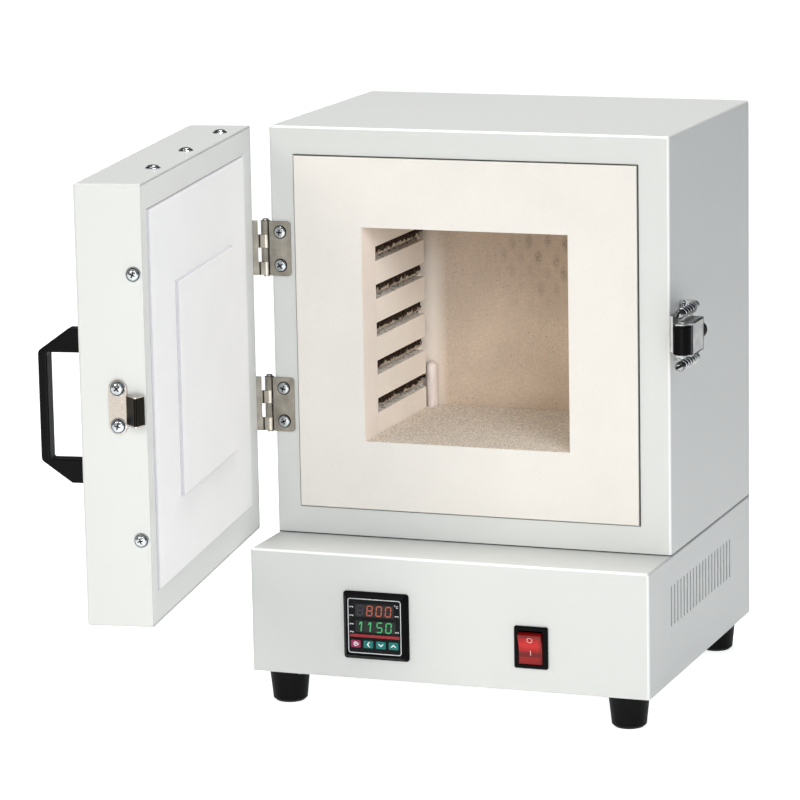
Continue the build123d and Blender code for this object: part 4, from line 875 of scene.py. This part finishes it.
class OVEN_OT_controller(bpy.types.Operator):
    """Prints the controller's face, lights its digits and marks its keys"""

    bl_idname = "oven.controller"
    bl_label = "Finish temperature controller"

    def execute(self, context):
        look = context.scene.oven_controls
        case = moulded("black_flame_retardant_abs", "#030304", 0.45, gloss=0.05)
        paint(case, "controller_bezel", "controller_housing", "controller_clamp")
        film = moulded("black_polyester_film", "#050608", 0.16, texture=2.0, depth=0.01, gloss=0.1)
        paint(film, "controller_faceplate")
        face_y = CONTROL.y - PRINT_LIFT
        self.face_print(face_y)
        for name, x, z, colour in (
            ("upper_window", (-68.1, -38.6), (71.8, 81.4), "#1b1719"),
            ("lower_window", (-68.0, -37.4), (60.6, 69.2), "#121a16"),
            ("level_bar", (-72.1, -34.6), (56.9, 58.9), "#96242a"),
        ):
            bm = bmesh.new()
            rectangle(bm, x, z, face_y + 0.02)
            tinted = moulded("tinted_" + name, colour, 0.18, texture=3.0, depth=0.005)
            as_piece(in_metres(bm, name), tinted, "oven", smooth=False)
        upper = lit_digits("lit_upper_digits", look.process, look.glow)
        lower = lit_digits("lit_lower_digits", look.target, look.glow)
        dark = moulded("unlit_segments", "#2d2f39", 0.3, texture=2.0, depth=0.005)
        for name, text, x, z, pitch, material in (
            ("upper_digits", "800", -57.0, 76.6, 7.1, upper),
            ("lower_digits", "1150", -63.4, 64.7, 6.9, lower),
            ("unlit_digit", "8", -64.2, 76.6, 7.1, dark),
        ):
            as_piece(digits_mesh(name, text, x, z, pitch), material, "oven", smooth=False)
        self.keys()
        return {"FINISHED"}

    def face_print(self, face_y):
        """The outline and the small marks round the displays."""
        bm = bmesh.new()
        frame_outline(bm, half_w=20.3, half_h=20.2, radius=2.0, line=0.6, face_y=face_y)
        # Small broken blocks stand for the row marks beside the displays
        width, below, above = 0.62, 0.45, 0.4
        for x, heights in ((-72.2, (78.9, 72.6, 66.3, 60.5)), (-37.6, (73.7, 61.9))):
            for z in heights:
                for step, drop in enumerate((0.0, 0.25, -0.1)):
                    rectangle(bm, (x + step, x + step + width), (z - below + drop, z + above), face_y)
        # A small ring and hook stand for the degree mark beside the upper display
        for band, x, z in (
            (arc_band(0.5, 0.5, 12, 0.0, 2 * pi), -37.7, 81.5),
            (arc_band(0.95, 0.6, 8, 0.25 * pi, 1.75 * pi), -35.8, 80.5),
        ):
            for corners in band:
                flat_shape(bm, corners, Matrix.Translation((x, face_y, z)))
        printed = moulded("white_screen_print", "#dfe2e2", 0.5, texture=1.0, depth=0.01)
        mesh = in_metres(bm, "controller_print")
        as_piece(mesh, printed, "oven", smooth=False)

    def keys(self):
        """The keys' colours, and their arrows, or a turned arrow on the first."""
        magenta = moulded("magenta_key_film", "#8e2a4e", 0.35, texture=1.5, depth=0.01)
        teal = moulded("teal_key_film", "#146b66", 0.35, texture=1.5, depth=0.01)
        pale = moulded("pale_key_print", "#e6efec", 0.5, texture=1.0, depth=0.01)
        arrow = [(-1.9, 1.3), (0.0, -0.1), (1.9, 1.3), (1.9, 0.5), (0.0, -1.25), (-1.9, 0.5)]
        turned = [
            *arc_band(1.7, 0.62, 14, 0.15 * pi, 1.7 * pi), [(0.4, 0.3), (2.6, 0.3), (1.5, -1.1)],
            [(-0.7, -0.3), (0.6, -0.3), (0.6, 0.3), (-0.7, 0.3)],
        ]
        turns = {"key_left": 0.5 * pi, "key_up": pi}
        for name, x in KEYS:
            first = name == "key_set"
            paint(magenta if first else teal, name)
            place = Matrix.Translation((x, KEY_FACE.y - 0.05, KEY_FACE.z))
            bm = bmesh.new()
            for outline in turned if first else [arrow]:
                flat_shape(bm, outline, place @ Matrix.Rotation(turns.get(name, 0.0), 4, "Y"))
            mesh = in_metres(bm, name + "_mark")
            as_piece(mesh, pale, name + "_body", smooth=False)


def rocker_face(z, middle=-38.05, radius=33.35):
    """How far the rocker's dished face lies in front of its axle, at a height on it."""
    return middle + sqrt(radius ** 2 - z ** 2)


class OVEN_OT_switch(bpy.types.Operator):
    """Finishes the mains switch and prints its two marks on the rocker"""

    bl_idname = "oven.switch"
    bl_label = "Finish mains switch"

    def execute(self, context):
        paint(moulded("black_polyamide", "#030304", 0.4, gloss=0.05), "switch_housing")
        shader = {"Roughness": 0.34, "IOR": 1.58, "Specular IOR Level": 0.25, "Subsurface Weight": 0.35}
        material, tree, bsdf, place = start_material("red_polycarbonate", shader)
        # Polycarbonate, moulded and see-through in part. Its colour is painted light and shade in stripes up the
        # rocker: a painted highlight across the middle, lighter strips at the ends where its faces catch the light,
        # painted shade in two dark stripes between, and painted shade on its left and right sides
        bsdf.inputs["Subsurface Scale"].default_value = 2.0 * MM
        bsdf.inputs["Subsurface Radius"].default_value = (1.0, 0.15, 0.1)
        axes = add(tree, "SeparateXYZ", None, {"Vector": place}).outputs
        stops = [
            (0.0, "#8c1010"), (0.13, "#981212"), (0.16, "#6b0606"), (0.28, "#700707"), (0.34, "#a81310"),
            (0.54, "#c92420"), (0.75, "#a81210"), (0.8, "#7c0303"), (0.95, "#700202"), (1.0, "#8f0d0c"),
        ]
        bands = add(tree, "ValToRGB", {"stops": stops}, {"Fac": region(tree, (axes["Z"], 47.2, 70.2))})
        right, left = region(tree, (axes["X"], 69.0, 72.4)), region(tree, (axes["X"], 55.2, 53.6))
        sides = add(tree, "Math", {"operation": "MAXIMUM"}, {0: right, 1: left}).outputs[0]
        tree.links.new(stained(tree, bands.outputs[0], "#5d0404", sides), bsdf.inputs["Base Color"])
        paint(material, "switch_rocker")
        self.marks()
        return {"FINISHED"}

    def marks(self):
        """A ring above and a bar below, printed on the dished face."""
        shapes = [[(x, z + 7.0) for x, z in corners] for corners in arc_band(2.1, 0.8, 24, 0.0, 2 * pi)]
        heights = [-4.6 + 3.4 * i / 6 for i in range(7)]
        shapes += [[(-0.28, a), (0.28, a), (0.28, b), (-0.28, b)] for a, b in zip(heights, heights[1:])]
        bm = bmesh.new()
        tilt = Matrix.Translation(ROCKER_AXLE) @ Matrix.Rotation(radians(9.0), 4, "X")
        for corners in shapes:
            bm.faces.new([bm.verts.new(tilt @ Vector((x, rocker_face(z) - PRINT_LIFT, z))) for x, z in corners])
        printed = moulded("white_pad_print", "#e8b9b4", 0.5, texture=1.0, depth=0.01)
        as_piece(in_metres(bm, "rocker_marks"), printed, "rocker", smooth=False)


class OVEN_OT_hinges(bpy.types.Operator):
    """Gives the hinge leaves and pins their satin plating"""

    bl_idname = "oven.hinges"
    bl_label = "Finish hinges"

    def execute(self, context):
        steel = satin_metal("satin_nickel_hinge", "#938d84", "#bcb6ab", 0.34, extra=barrel_shade_lines)
        paint(steel, "hinge_leaves_body", "hinge_leaves_door", "hinge_pins")
        return {"FINISHED"}


def cross_head(radius, height):
    """A pan head with a cross recess, its underside at the origin, in millimetres."""
    shape = ((0.0, 1.0), (0.35, 0.985), (0.62, 0.92), (0.82, 0.78), (0.94, 0.56), (1.0, 0.28), (1.0, 0.0), (0.0, 0.0))
    cutters = []
    for turn in (0.0, pi / 2):
        arm = bmesh.new()
        bmesh.ops.create_cube(arm, size=1.0)
        for vert in arm.verts:
            deep = vert.co.z < 0
            vert.co.x *= radius * (0.62 if deep else 1.16)
            vert.co.y *= radius * (0.13 if deep else 0.24)
            vert.co.z = height * (0.35 if deep else 1.1)
        bmesh.ops.rotate(arm, verts=arm.verts, matrix=Matrix.Rotation(turn, 3, "Z"))
        cutters.append(arm)
    mesh = with_boolean(lathe([(r * radius, h * height) for r, h in shape], 32), cutters, "cross_head")
    # The cross recess and a thin band round the head take the second material, which is painted shade
    for polygon in mesh.polygons:
        middle = polygon.center
        sunk = Vector((middle.x, middle.y)).length < radius * 0.6 and abs(polygon.normal.z) < 0.75
        polygon.material_index = 1 if sunk or 0.3 * height < middle.z < 0.4 * height else 0
    return mesh


def washer(radius, thick, shade=0):
    profile = [(0.45, 0.0), (0.45, 1.0), (0.93, 1.0), (1.0, 0.6), (1.0, 0.0), (0.45, 0.0)]
    mesh = finish_bmesh(lathe([(r * radius, h * thick) for r, h in profile], 40), "washer")
    for polygon in mesh.polygons:
        polygon.material_index = shade
    return mesh


def screw_sets():
    """Each set of cross-head screws: its node, its body, its head's radius and height, its washer's radius,
    which way it faces, and where it sits, with the door shut."""
    hinge_z = [z + dz for z in HINGES_Z for dz in (-12.2, 12.2)]
    door_x = [DOOR_LEFT + x for x in (43.0, 138.5, 225.6)]
    door_y = DOOR_INNER - 11.2
    rear = (0, 1, 0)
    body_rear = [(x, z) for x in (-141.0, 0.0, 141.0) for z in (130.0, 402.0)] + [(-141.0, 266.0), (141.0, 266.0)]
    base_rear = [(x, z) for x in (-139.2, 139.2) for z in (34.8, 98.2)]
    under = [(x, y, 25.0) for x in (-116.0, 0.0, 116.0) for y in (FRONT + 7.0, REAR - 7.0)]
    feet = [(x, y, 13.5) for x in (-129.0, 129.0) for y in (-113.0, 113.0)]
    return [
        ("hinge_screws_body", "oven", (4.4, 2.4, 0.0), (0, -1, 0), [(HINGE_X, -78.5, z) for z in hinge_z]),
        ("hinge_screws_door", "door", (4.4, 2.4, 0.0), (-1, 0, 0), [(DOOR_LEFT - 1.5, -91.9, z) for z in hinge_z]),
        ("strike_screws", "door", (4.3, 2.2, 5.5), (1, 0, 0),
         [(DOOR_RIGHT + 1.5, DOOR_INNER - 19.0, STRIKE_Z + dz) for dz in (-12.6, 12.6)]),
        ("door_screws", "door", (4.0, 2.4, 5.2), (1, 0, 0),
         [(DOOR_RIGHT, DOOR_INNER - 6.2, z) for z in (177.9, 356.4)]),
        ("door_screws", "door", (4.0, 1.6, 5.2), (0, 0, 1), [(x, door_y, BODY_TOP) for x in door_x]),
        ("door_screws", "door", (3.2, 1.6, 0.0), (0, 0, -1), [(x, door_y, DOOR_BOTTOM) for x in door_x]),
        ("catch_bracket_screws", "oven", (3.6, 2.2, 0.0), (1, 0, 0),
         [(152.0, -49.0, CATCH_Z + dz) for dz in (-16, 16)]),
        ("base_screws", "oven", (3.2, 2.0, 0.0), (0, 0, -1), under),
        ("base_screws", "oven", (3.2, 2.0, 0.0), rear, [(x, REAR, z) for x, z in base_rear]),
        ("body_rear_screws", "oven", (3.2, 2.0, 0.0), rear, [(x, REAR, z) for x, z in body_rear]),
        ("foot_screws", "oven", (4.2, 3.0, 0.0), (0, 0, -1), feet),
    ]


class OVEN_OT_screws(bpy.types.Operator):
    """Makes the cross-head screws and their washers"""

    bl_idname = "oven.screws"
    bl_label = "Make screws"

    def execute(self, context):
        zinc = satin_metal("bright_zinc_plate", "#9a9fa3", "#d6dadc", 0.22, grain=0.8, stretch=(1, 1, 1), bump=0.05)
        recess_shade = moulded("blackened_recess", "#0c0d0f", 0.5, gloss=0.2)
        made = {}
        for number, (node, body, (radius, height, ring), facing, seats) in enumerate(screw_sets()):
            bm = made.setdefault(node, (bmesh.new(), body))[0]
            lift = Matrix.Translation((0, 0, 0.8 if ring else 0.0))
            # The dark ring under each head is a thin disc of painted shade
            head, dark_ring = cross_head(radius, height), washer(radius + 0.55, 0.35, 1)
            for i, seat in enumerate(seats):
                place = Matrix.Translation(seat) @ toward(facing)
                if body == "door":
                    place = door_place() @ place
                add_copy(bm, head, place @ lift @ Matrix.Rotation(0.9 * i + 0.5 * number + 0.35, 4, "Z"))
                if ring:
                    add_copy(bm, washer(ring, 0.8), place)
                add_copy(bm, dark_ring, place @ lift)
        for node, (bm, body) in made.items():
            mesh = in_metres(bm, node + "_heads")
            piece = as_piece(mesh, zinc, body, [node])
            piece.data.materials.append(recess_shade)
            crisp(piece)
        paint(zinc, "handle_screws", "body_bolts")
        return {"FINISHED"}


class OVEN_OT_handle(bpy.types.Operator):
    """Finishes the door handle"""

    bl_idname = "oven.handle"
    bl_label = "Finish handle"

    def execute(self, context):
        paint(moulded("black_glass_filled_nylon", "#040405", 0.34, 0.9, 0.08, 0.08), "door_handle")
        return {"FINISHED"}


def spring_run(centre, start, stop, radius, turns):
    """A compression spring along Y."""
    places = []
    steps = turns * 18
    for i in range(steps + 1):
        angle = 2 * pi * turns * i / steps
        along = start + (stop - start) * i / steps
        places.append((centre[0] + radius * cos(angle), along, centre[1] - radius * sin(angle)))
    return places


class OVEN_OT_catch(bpy.types.Operator):
    """Finishes the roller catch and its strike, and winds its two springs"""

    bl_idname = "oven.catch"
    bl_label = "Finish roller catch"

    def execute(self, context):
        pressed = satin_metal("zinc_plated_pressing", "#929494", "#bcbebd", 0.42)
        paint(pressed, "catch_roller_pin")
        self.pressing("bracket", "oven", (-64.0, -62.0), pressed)
        self.pressing("carriage", "catch", (-66.0, -64.0), pressed)
        self.bolts()
        self.springs()
        black = moulded("turned_black_acetal", "#030304", 0.3, texture=1.0, depth=0.05, gloss=0.04)
        paint(black, "catch_roller")
        paint(moulded("black_phenolic_knob", "#030304", 0.5, gloss=0.03), "catch_adjuster")
        self.strike()
        return {"FINISHED"}

    def pressing(self, name, body, y, pressed):
        """The bracket or the rocking carriage, with small round ears that hold the spring bolts."""
        bm = bmesh.new()
        for dz in SPRINGS_DZ:
            ear = [(158.4, -4.4), *[(162.6 + a, b) for a, b in arc(4.4, 10, -0.5 * pi, 0.5 * pi)], (158.4, 4.4)]
            prism(bm, [(x, z + CATCH_Z + dz) for x, z in ear], y)
            neck = CATCH_Z + (14.5 if dz > 0 else -14.5)
            block(bm, (158.4, SPRING_X), y, (neck - 4.0, neck + 4.0))
        if name == "bracket":
            block(bm, (150.0, 152.0), (-64.0, -41.0), (CATCH_Z - 21, CATCH_Z + 11))
            block(bm, (150.0, 152.0), (-76.0, -63.0), (CATCH_Z - 13, CATCH_Z + 13))
            block(bm, (150.0, 170.0), y, (CATCH_Z - 11, CATCH_Z + 11))
        else:
            web = (CATCH_Z - 11.7, CATCH_Z + 11.7)
            block(bm, (155.0, 171.0), y, web)
            block(bm, (169.7, 171.0), (-90.0, -64.5), web)
            front = [(164.3 + a, -95.5 - b) for a, b in arc(4.0, 8, 0.0, 0.5 * pi)]
            cheek = [(171.0, -64.5), (171.0, -94.0), *front, (160.5, -99.5), (160.5, -64.5)]
            for low in (CATCH_Z - 11.7, CATCH_Z + 10.4):
                slab(bm, cheek, (low, low + 1.3))
        mesh = in_metres(bm, "catch_" + name + "_pressed")
        bevelled(as_piece(mesh, pressed, body, ["catch_" + name], smooth=False), 0.25)

    def bolts(self):
        """Two slotted bolts with domed heads, each through its spring to a nut behind the bracket."""
        zinc = satin_metal("bright_zinc_bolt", "#6a6d70", "#a9abac", 0.2, grain=0.8, stretch=(1, 1, 1), bump=0.05)
        head = [(0.0, 4.0), (1.3, 3.9), (2.2, 3.5), (2.8, 2.8), (3.1, 1.8), (3.1, 1.0), (3.4, 0.9), (3.4, 0.0)]
        shank = [(2.1, 0.0), (2.1, -29.5), (1.9, -29.6), (1.9, -35.0)]
        nut = [(3.6, -35.0), (3.6, -38.2), (1.9, -38.2), (1.9, -42.0), (0.0, -42.0)]
        slot = bmesh.new()
        block(slot, (-5, 5), (-0.9, 0.9), (2.0, 6.0))
        bolt = with_boolean(lathe([*head, *shank, *nut], 32), [slot], "slotted_bolt")
        # The slot, the rim under the head and the shank inside the spring take the second material, which is painted
        # shade
        for polygon in bolt.polygons:
            middle = polygon.center
            ring = 0.0 <= middle.z <= 0.95
            cut = abs(middle.y) < 0.92 and middle.z > 1.9 and (abs(polygon.normal.z) < 0.3 or middle.z < 2.1)
            polygon.material_index = 1 if ring or cut or -34.9 < middle.z < 0.0 else 0
        bm = bmesh.new()
        for dz, turn in zip(SPRINGS_DZ, (0.5, 1.1)):
            place = Matrix.Translation((SPRING_X, -97.0, CATCH_Z + dz)) @ toward((0, -1, 0))
            add_copy(bm, bolt, place @ Matrix.Rotation(turn, 4, "Z"))
        mesh = in_metres(bm, "catch_bolts_turned")
        piece = as_piece(mesh, zinc, "oven", ["catch_bolts"])
        piece.data.materials.append(moulded("blackened_slot", "#0c0d0f", 0.5, gloss=0.2))
        crisp(piece)

    def springs(self):
        """Two springs from the bolts' heads to the carriage, on no body."""
        drawn = satin_metal("drawn_spring_wire", "#6f7173", "#b4b6b8", 0.22, grain=0.4, stretch=(1, 1, 1))
        runs = [spring_run((SPRING_X, CATCH_Z + dz), -96.1, -66.9, 2.9, 5) for dz in SPRINGS_DZ]
        mesh = wire_mesh("catch_springs_wound", runs, 0.6, 3)
        springs = as_piece(mesh, drawn, None, ["catch_springs"])
        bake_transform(springs)

    def strike(self):
        """Nickel plate over pressed steel, warm and satin. Its bent lip is painted near black in a band, a painted
        reflection of the dark surroundings in its polished curve.
        """
        shader = {"Metallic": 1.0, "Roughness": 0.3}
        material, tree, bsdf, place = start_material("satin_nickel_strike", shader)
        marks = add(tree, "TexNoise", {"Scale": per_mm(0.7), "Detail": 3.0}, {"Vector": place})
        warm = add(tree, "ValToRGB", {"stops": [(0.35, "#ada399"), (0.7, "#c9c1b8")]}, {"Fac": marks.outputs["Fac"]})
        axes = add(tree, "SeparateXYZ", None, {"Vector": place}).outputs
        # The lip begins at this X with the door open
        lip_start = (door_place() @ Vector((DOOR_RIGHT, DOOR_INNER - 12.75, 0.0))).x * MM
        lip = add(tree, "Math", {"operation": "GREATER_THAN", 1: lip_start}, {0: axes["X"]})
        band = add(tree, "Math", {"operation": "COMPARE", 1: 266.2 * MM, 2: 9.4 * MM}, {0: axes["Z"]})
        # Painted reflection: the lip's band is painted near black
        dark_reflection = stained(tree, warm.outputs[0], "#16130f", lip.outputs[0], band.outputs[0])
        tree.links.new(dark_reflection, bsdf.inputs["Base Color"])
        paint(material, "strike_plate")


class OVEN_OT_feet(bpy.types.Operator):
    """Finishes the rubber feet"""

    bl_idname = "oven.feet"
    bl_label = "Finish feet"

    def execute(self, context):
        paint(moulded("black_moulded_rubber", "#050505", 0.5, texture=1.5, depth=0.08, gloss=0.08), "rubber_feet")
        return {"FINISHED"}


class OVEN_OT_inside(bpy.types.Operator):
    """Finishes the power inlet and the electrical parts in the base"""

    bl_idname = "oven.inside"
    bl_label = "Finish electrical parts"

    def execute(self, context):
        paint(moulded("black_inlet_nylon", "#121213", 0.4), "power_inlet")
        paint(moulded("ivory_phenolic", "#d8d3c6", 0.5), "solid_state_relay", "terminal_strip")
        return {"FINISHED"}


# Studio
def area_lamp(name, place, target, size, power, colour):
    lamp = bpy.data.lights.new(name, "AREA")
    lamp.shape, lamp.size, lamp.size_y = "RECTANGLE", size[0], size[1]
    lamp.energy = power
    lamp.color = srgb(colour)
    holder = bpy.data.objects.new(name, lamp)
    bpy.context.scene.collection.objects.link(holder)
    holder.location = place
    aim = Vector(target) - Vector(place)
    holder.rotation_euler = aim.to_track_quat("-Z", "Y").to_euler()
    return holder


# Each lamp's place, the place that it's aimed at and its size, in metres, and its tint
LAMPS = (
    ("key", (-0.95, -2.75, 1.5), (0.0, 0.0, 0.25), (0.8, 1.2), "#fffaf0"),
    ("high", (0.28, -1.25, 0.98), (-0.02, -0.08, 0.27), (0.5, 0.32), "#fffdf6"),
    ("low", (0.22, -1.25, 0.12), (-0.02, -0.08, 0.27), (0.5, 0.14), "#fffdf6"),
    ("fill", (1.62, -2.45, 0.8), (0.0, 0.0, 0.25), (1.0, 1.2), "#dcebff"),
    ("top", (0.0, 0.15, 2.3), (0.0, 0.05, 0.4), (0.5, 0.5), "#ffffff"),
    ("inside", (1.7, -2.1, 1.45), (-0.02, -0.05, 0.265), (1.3, 1.3), "#ffffff"),
)
# The inside lamp stands for a reflector turned into the oven, so it lights the chamber and the door's inside only
INSIDE_NODES = (
    "heater_panel_left", "heater_panel_right", "back_board", "roof_board", "floor_board", "hearth_plate",
    "door_inner_frame", "thermocouple_sheath",
)


class OVEN_OT_studio(bpy.types.Operator):
    """Sets up the floor, the lamps, the room light and the camera"""

    bl_idname = "oven.studio"
    bl_label = "Set up studio"

    def execute(self, context):
        studio = context.scene.oven_studio
        context.scene.view_settings.view_transform = "Standard"
        self.floor()
        self.room(studio.sky)
        for name, place, target, size, tint in LAMPS:
            lamp = area_lamp(name + "_lamp", place, target, size, getattr(studio, name), tint)
            if name == "inside":
                inside = bpy.data.collections.new(REFLECTOR)
                for node in INSIDE_NODES:
                    inside.objects.link(NODES[node])
                lamp.light_linking.receiver_collection = inside
        self.camera(studio.lens)
        return {"FINISHED"}

    def floor(self):
        bm = bmesh.new()
        bmesh.ops.create_grid(bm, x_segments=1, y_segments=1, size=6.0)
        floor = bpy.data.objects.new("floor", finish_bmesh(bm, "floor"))
        bpy.context.scene.collection.objects.link(floor)
        material, tree, bsdf, place = start_material("white_paper_sweep", {"Roughness": 0.9})
        # Matt paper: it keeps the shadow, and is lifted to white only as the camera and gloss see it
        fibre = add(tree, "TexNoise", {"Scale": per_mm(40)}, {"Vector": place})
        ends = {"From Min": 0.3, "From Max": 0.7, "To Min": 0.80, "To Max": 0.82}
        tone = add(tree, "MapRange", ends, {"Value": fibre.outputs["Fac"]})
        tree.links.new(tone.outputs[0], bsdf.inputs["Base Color"])
        path = add(tree, "LightPath").outputs
        seen = add(tree, "Math", {"operation": "MAXIMUM"}, {0: path["Is Camera Ray"], 1: path["Is Glossy Ray"]})
        glow = add(tree, "Math", {"operation": "MULTIPLY", 1: 0.78}, {0: seen.outputs[0]})
        bsdf.inputs["Emission Color"].default_value = grey(1.0)
        tree.links.new(glow.outputs[0], bsdf.inputs["Emission Strength"])
        floor.data.materials.append(material)

    def room(self, strength):
        world = bpy.data.worlds.new("studio_room")
        bpy.context.scene.world = world
        world.use_nodes = True
        tree = world.node_tree
        tree.nodes.clear()
        path = add(tree, "LightPath").outputs
        seen = add(
            tree, "Math", {"operation": "MAXIMUM"}, {0: path["Is Camera Ray"], 1: path["Is Transmission Ray"]}
        )
        # Gloss sees a darker room, so that black plastic stays black and metal gets contrast
        even, dim, white = (
            add(tree, "Background", {"Color": colour, "Strength": power}).outputs[0]
            for colour, power in ((linear("#f6fafd"), strength), (grey(1.0), 0.12), (grey(1.0), 1.0))
        )
        lit = add(tree, "MixShader", None, {0: path["Is Glossy Ray"], 1: even, 2: dim})
        whole = add(tree, "MixShader", None, {0: seen.outputs[0], 1: lit.outputs[0], 2: white})
        add(tree, "OutputWorld", None, {"Surface": whole.outputs[0]})

    def camera(self, lens):
        """The camera that was solved from the cabinet's edges in the photograph."""
        data = bpy.data.cameras.new("camera")
        data.lens, data.sensor_width = lens, 36.0
        data.clip_start, data.clip_end = 0.1, 50.0
        camera = bpy.data.objects.new("camera", data)
        bpy.context.scene.collection.objects.link(camera)
        yaw, pitch, roll = 0.3535, 0.194, -0.0189
        camera.location = (0.9502, -2.7956, 0.7884)
        ahead = Vector((-sin(yaw) * cos(pitch), cos(yaw) * cos(pitch), -sin(pitch)))
        right = Vector((cos(yaw), sin(yaw), 0.0))
        up = right.cross(ahead)
        turned_right = right * cos(roll) + up * sin(roll)
        turned_up = up * cos(roll) - right * sin(roll)
        axes = Matrix((turned_right, turned_up, -ahead)).transposed()
        camera.rotation_euler = axes.to_euler()
        bpy.context.scene.camera = camera


class OVEN_PT_panel(bpy.types.Panel):
    """Lists the steps that finish the oven"""

    bl_idname = "OVEN_PT_panel"
    bl_label = "Burnout oven"
    bl_space_type = "VIEW_3D"
    bl_region_type = "UI"
    bl_category = "Oven"

    def draw(self, context):
        for group, attribute in GROUPS:
            box = self.layout.box()
            for name in group.__annotations__:
                box.prop(getattr(context.scene, attribute), name)
        for operator in STEPS:
            self.layout.operator(operator.bl_idname)


GROUPS = (
    (OvenCoating, "oven_coating"), (OvenBoards, "oven_boards"), (OvenHeating, "oven_heating"),
    (OvenControls, "oven_controls"), (OvenStudio, "oven_studio"),
)
STEPS = (
    OVEN_OT_studio, OVEN_OT_cabinets, OVEN_OT_boards, OVEN_OT_coils, OVEN_OT_probe, OVEN_OT_controller,
    OVEN_OT_switch, OVEN_OT_hinges, OVEN_OT_screws, OVEN_OT_handle, OVEN_OT_catch, OVEN_OT_feet, OVEN_OT_inside,
)


def register():
    for group, attribute in GROUPS:
        bpy.utils.register_class(group)
        setattr(bpy.types.Scene, attribute, PointerProperty(type=group))
    for step in STEPS:
        bpy.utils.register_class(step)
    bpy.utils.register_class(OVEN_PT_panel)


def unregister():
    bpy.utils.unregister_class(OVEN_PT_panel)
    for step in reversed(STEPS):
        bpy.utils.unregister_class(step)
    for group, attribute in reversed(GROUPS):
        delattr(bpy.types.Scene, attribute)
        bpy.utils.unregister_class(group)


def main():
    register()
    for step in STEPS:
        space, name = step.bl_idname.split(".")
        getattr(getattr(bpy.ops, space), name)()


if __name__ == "__main__":
    main()
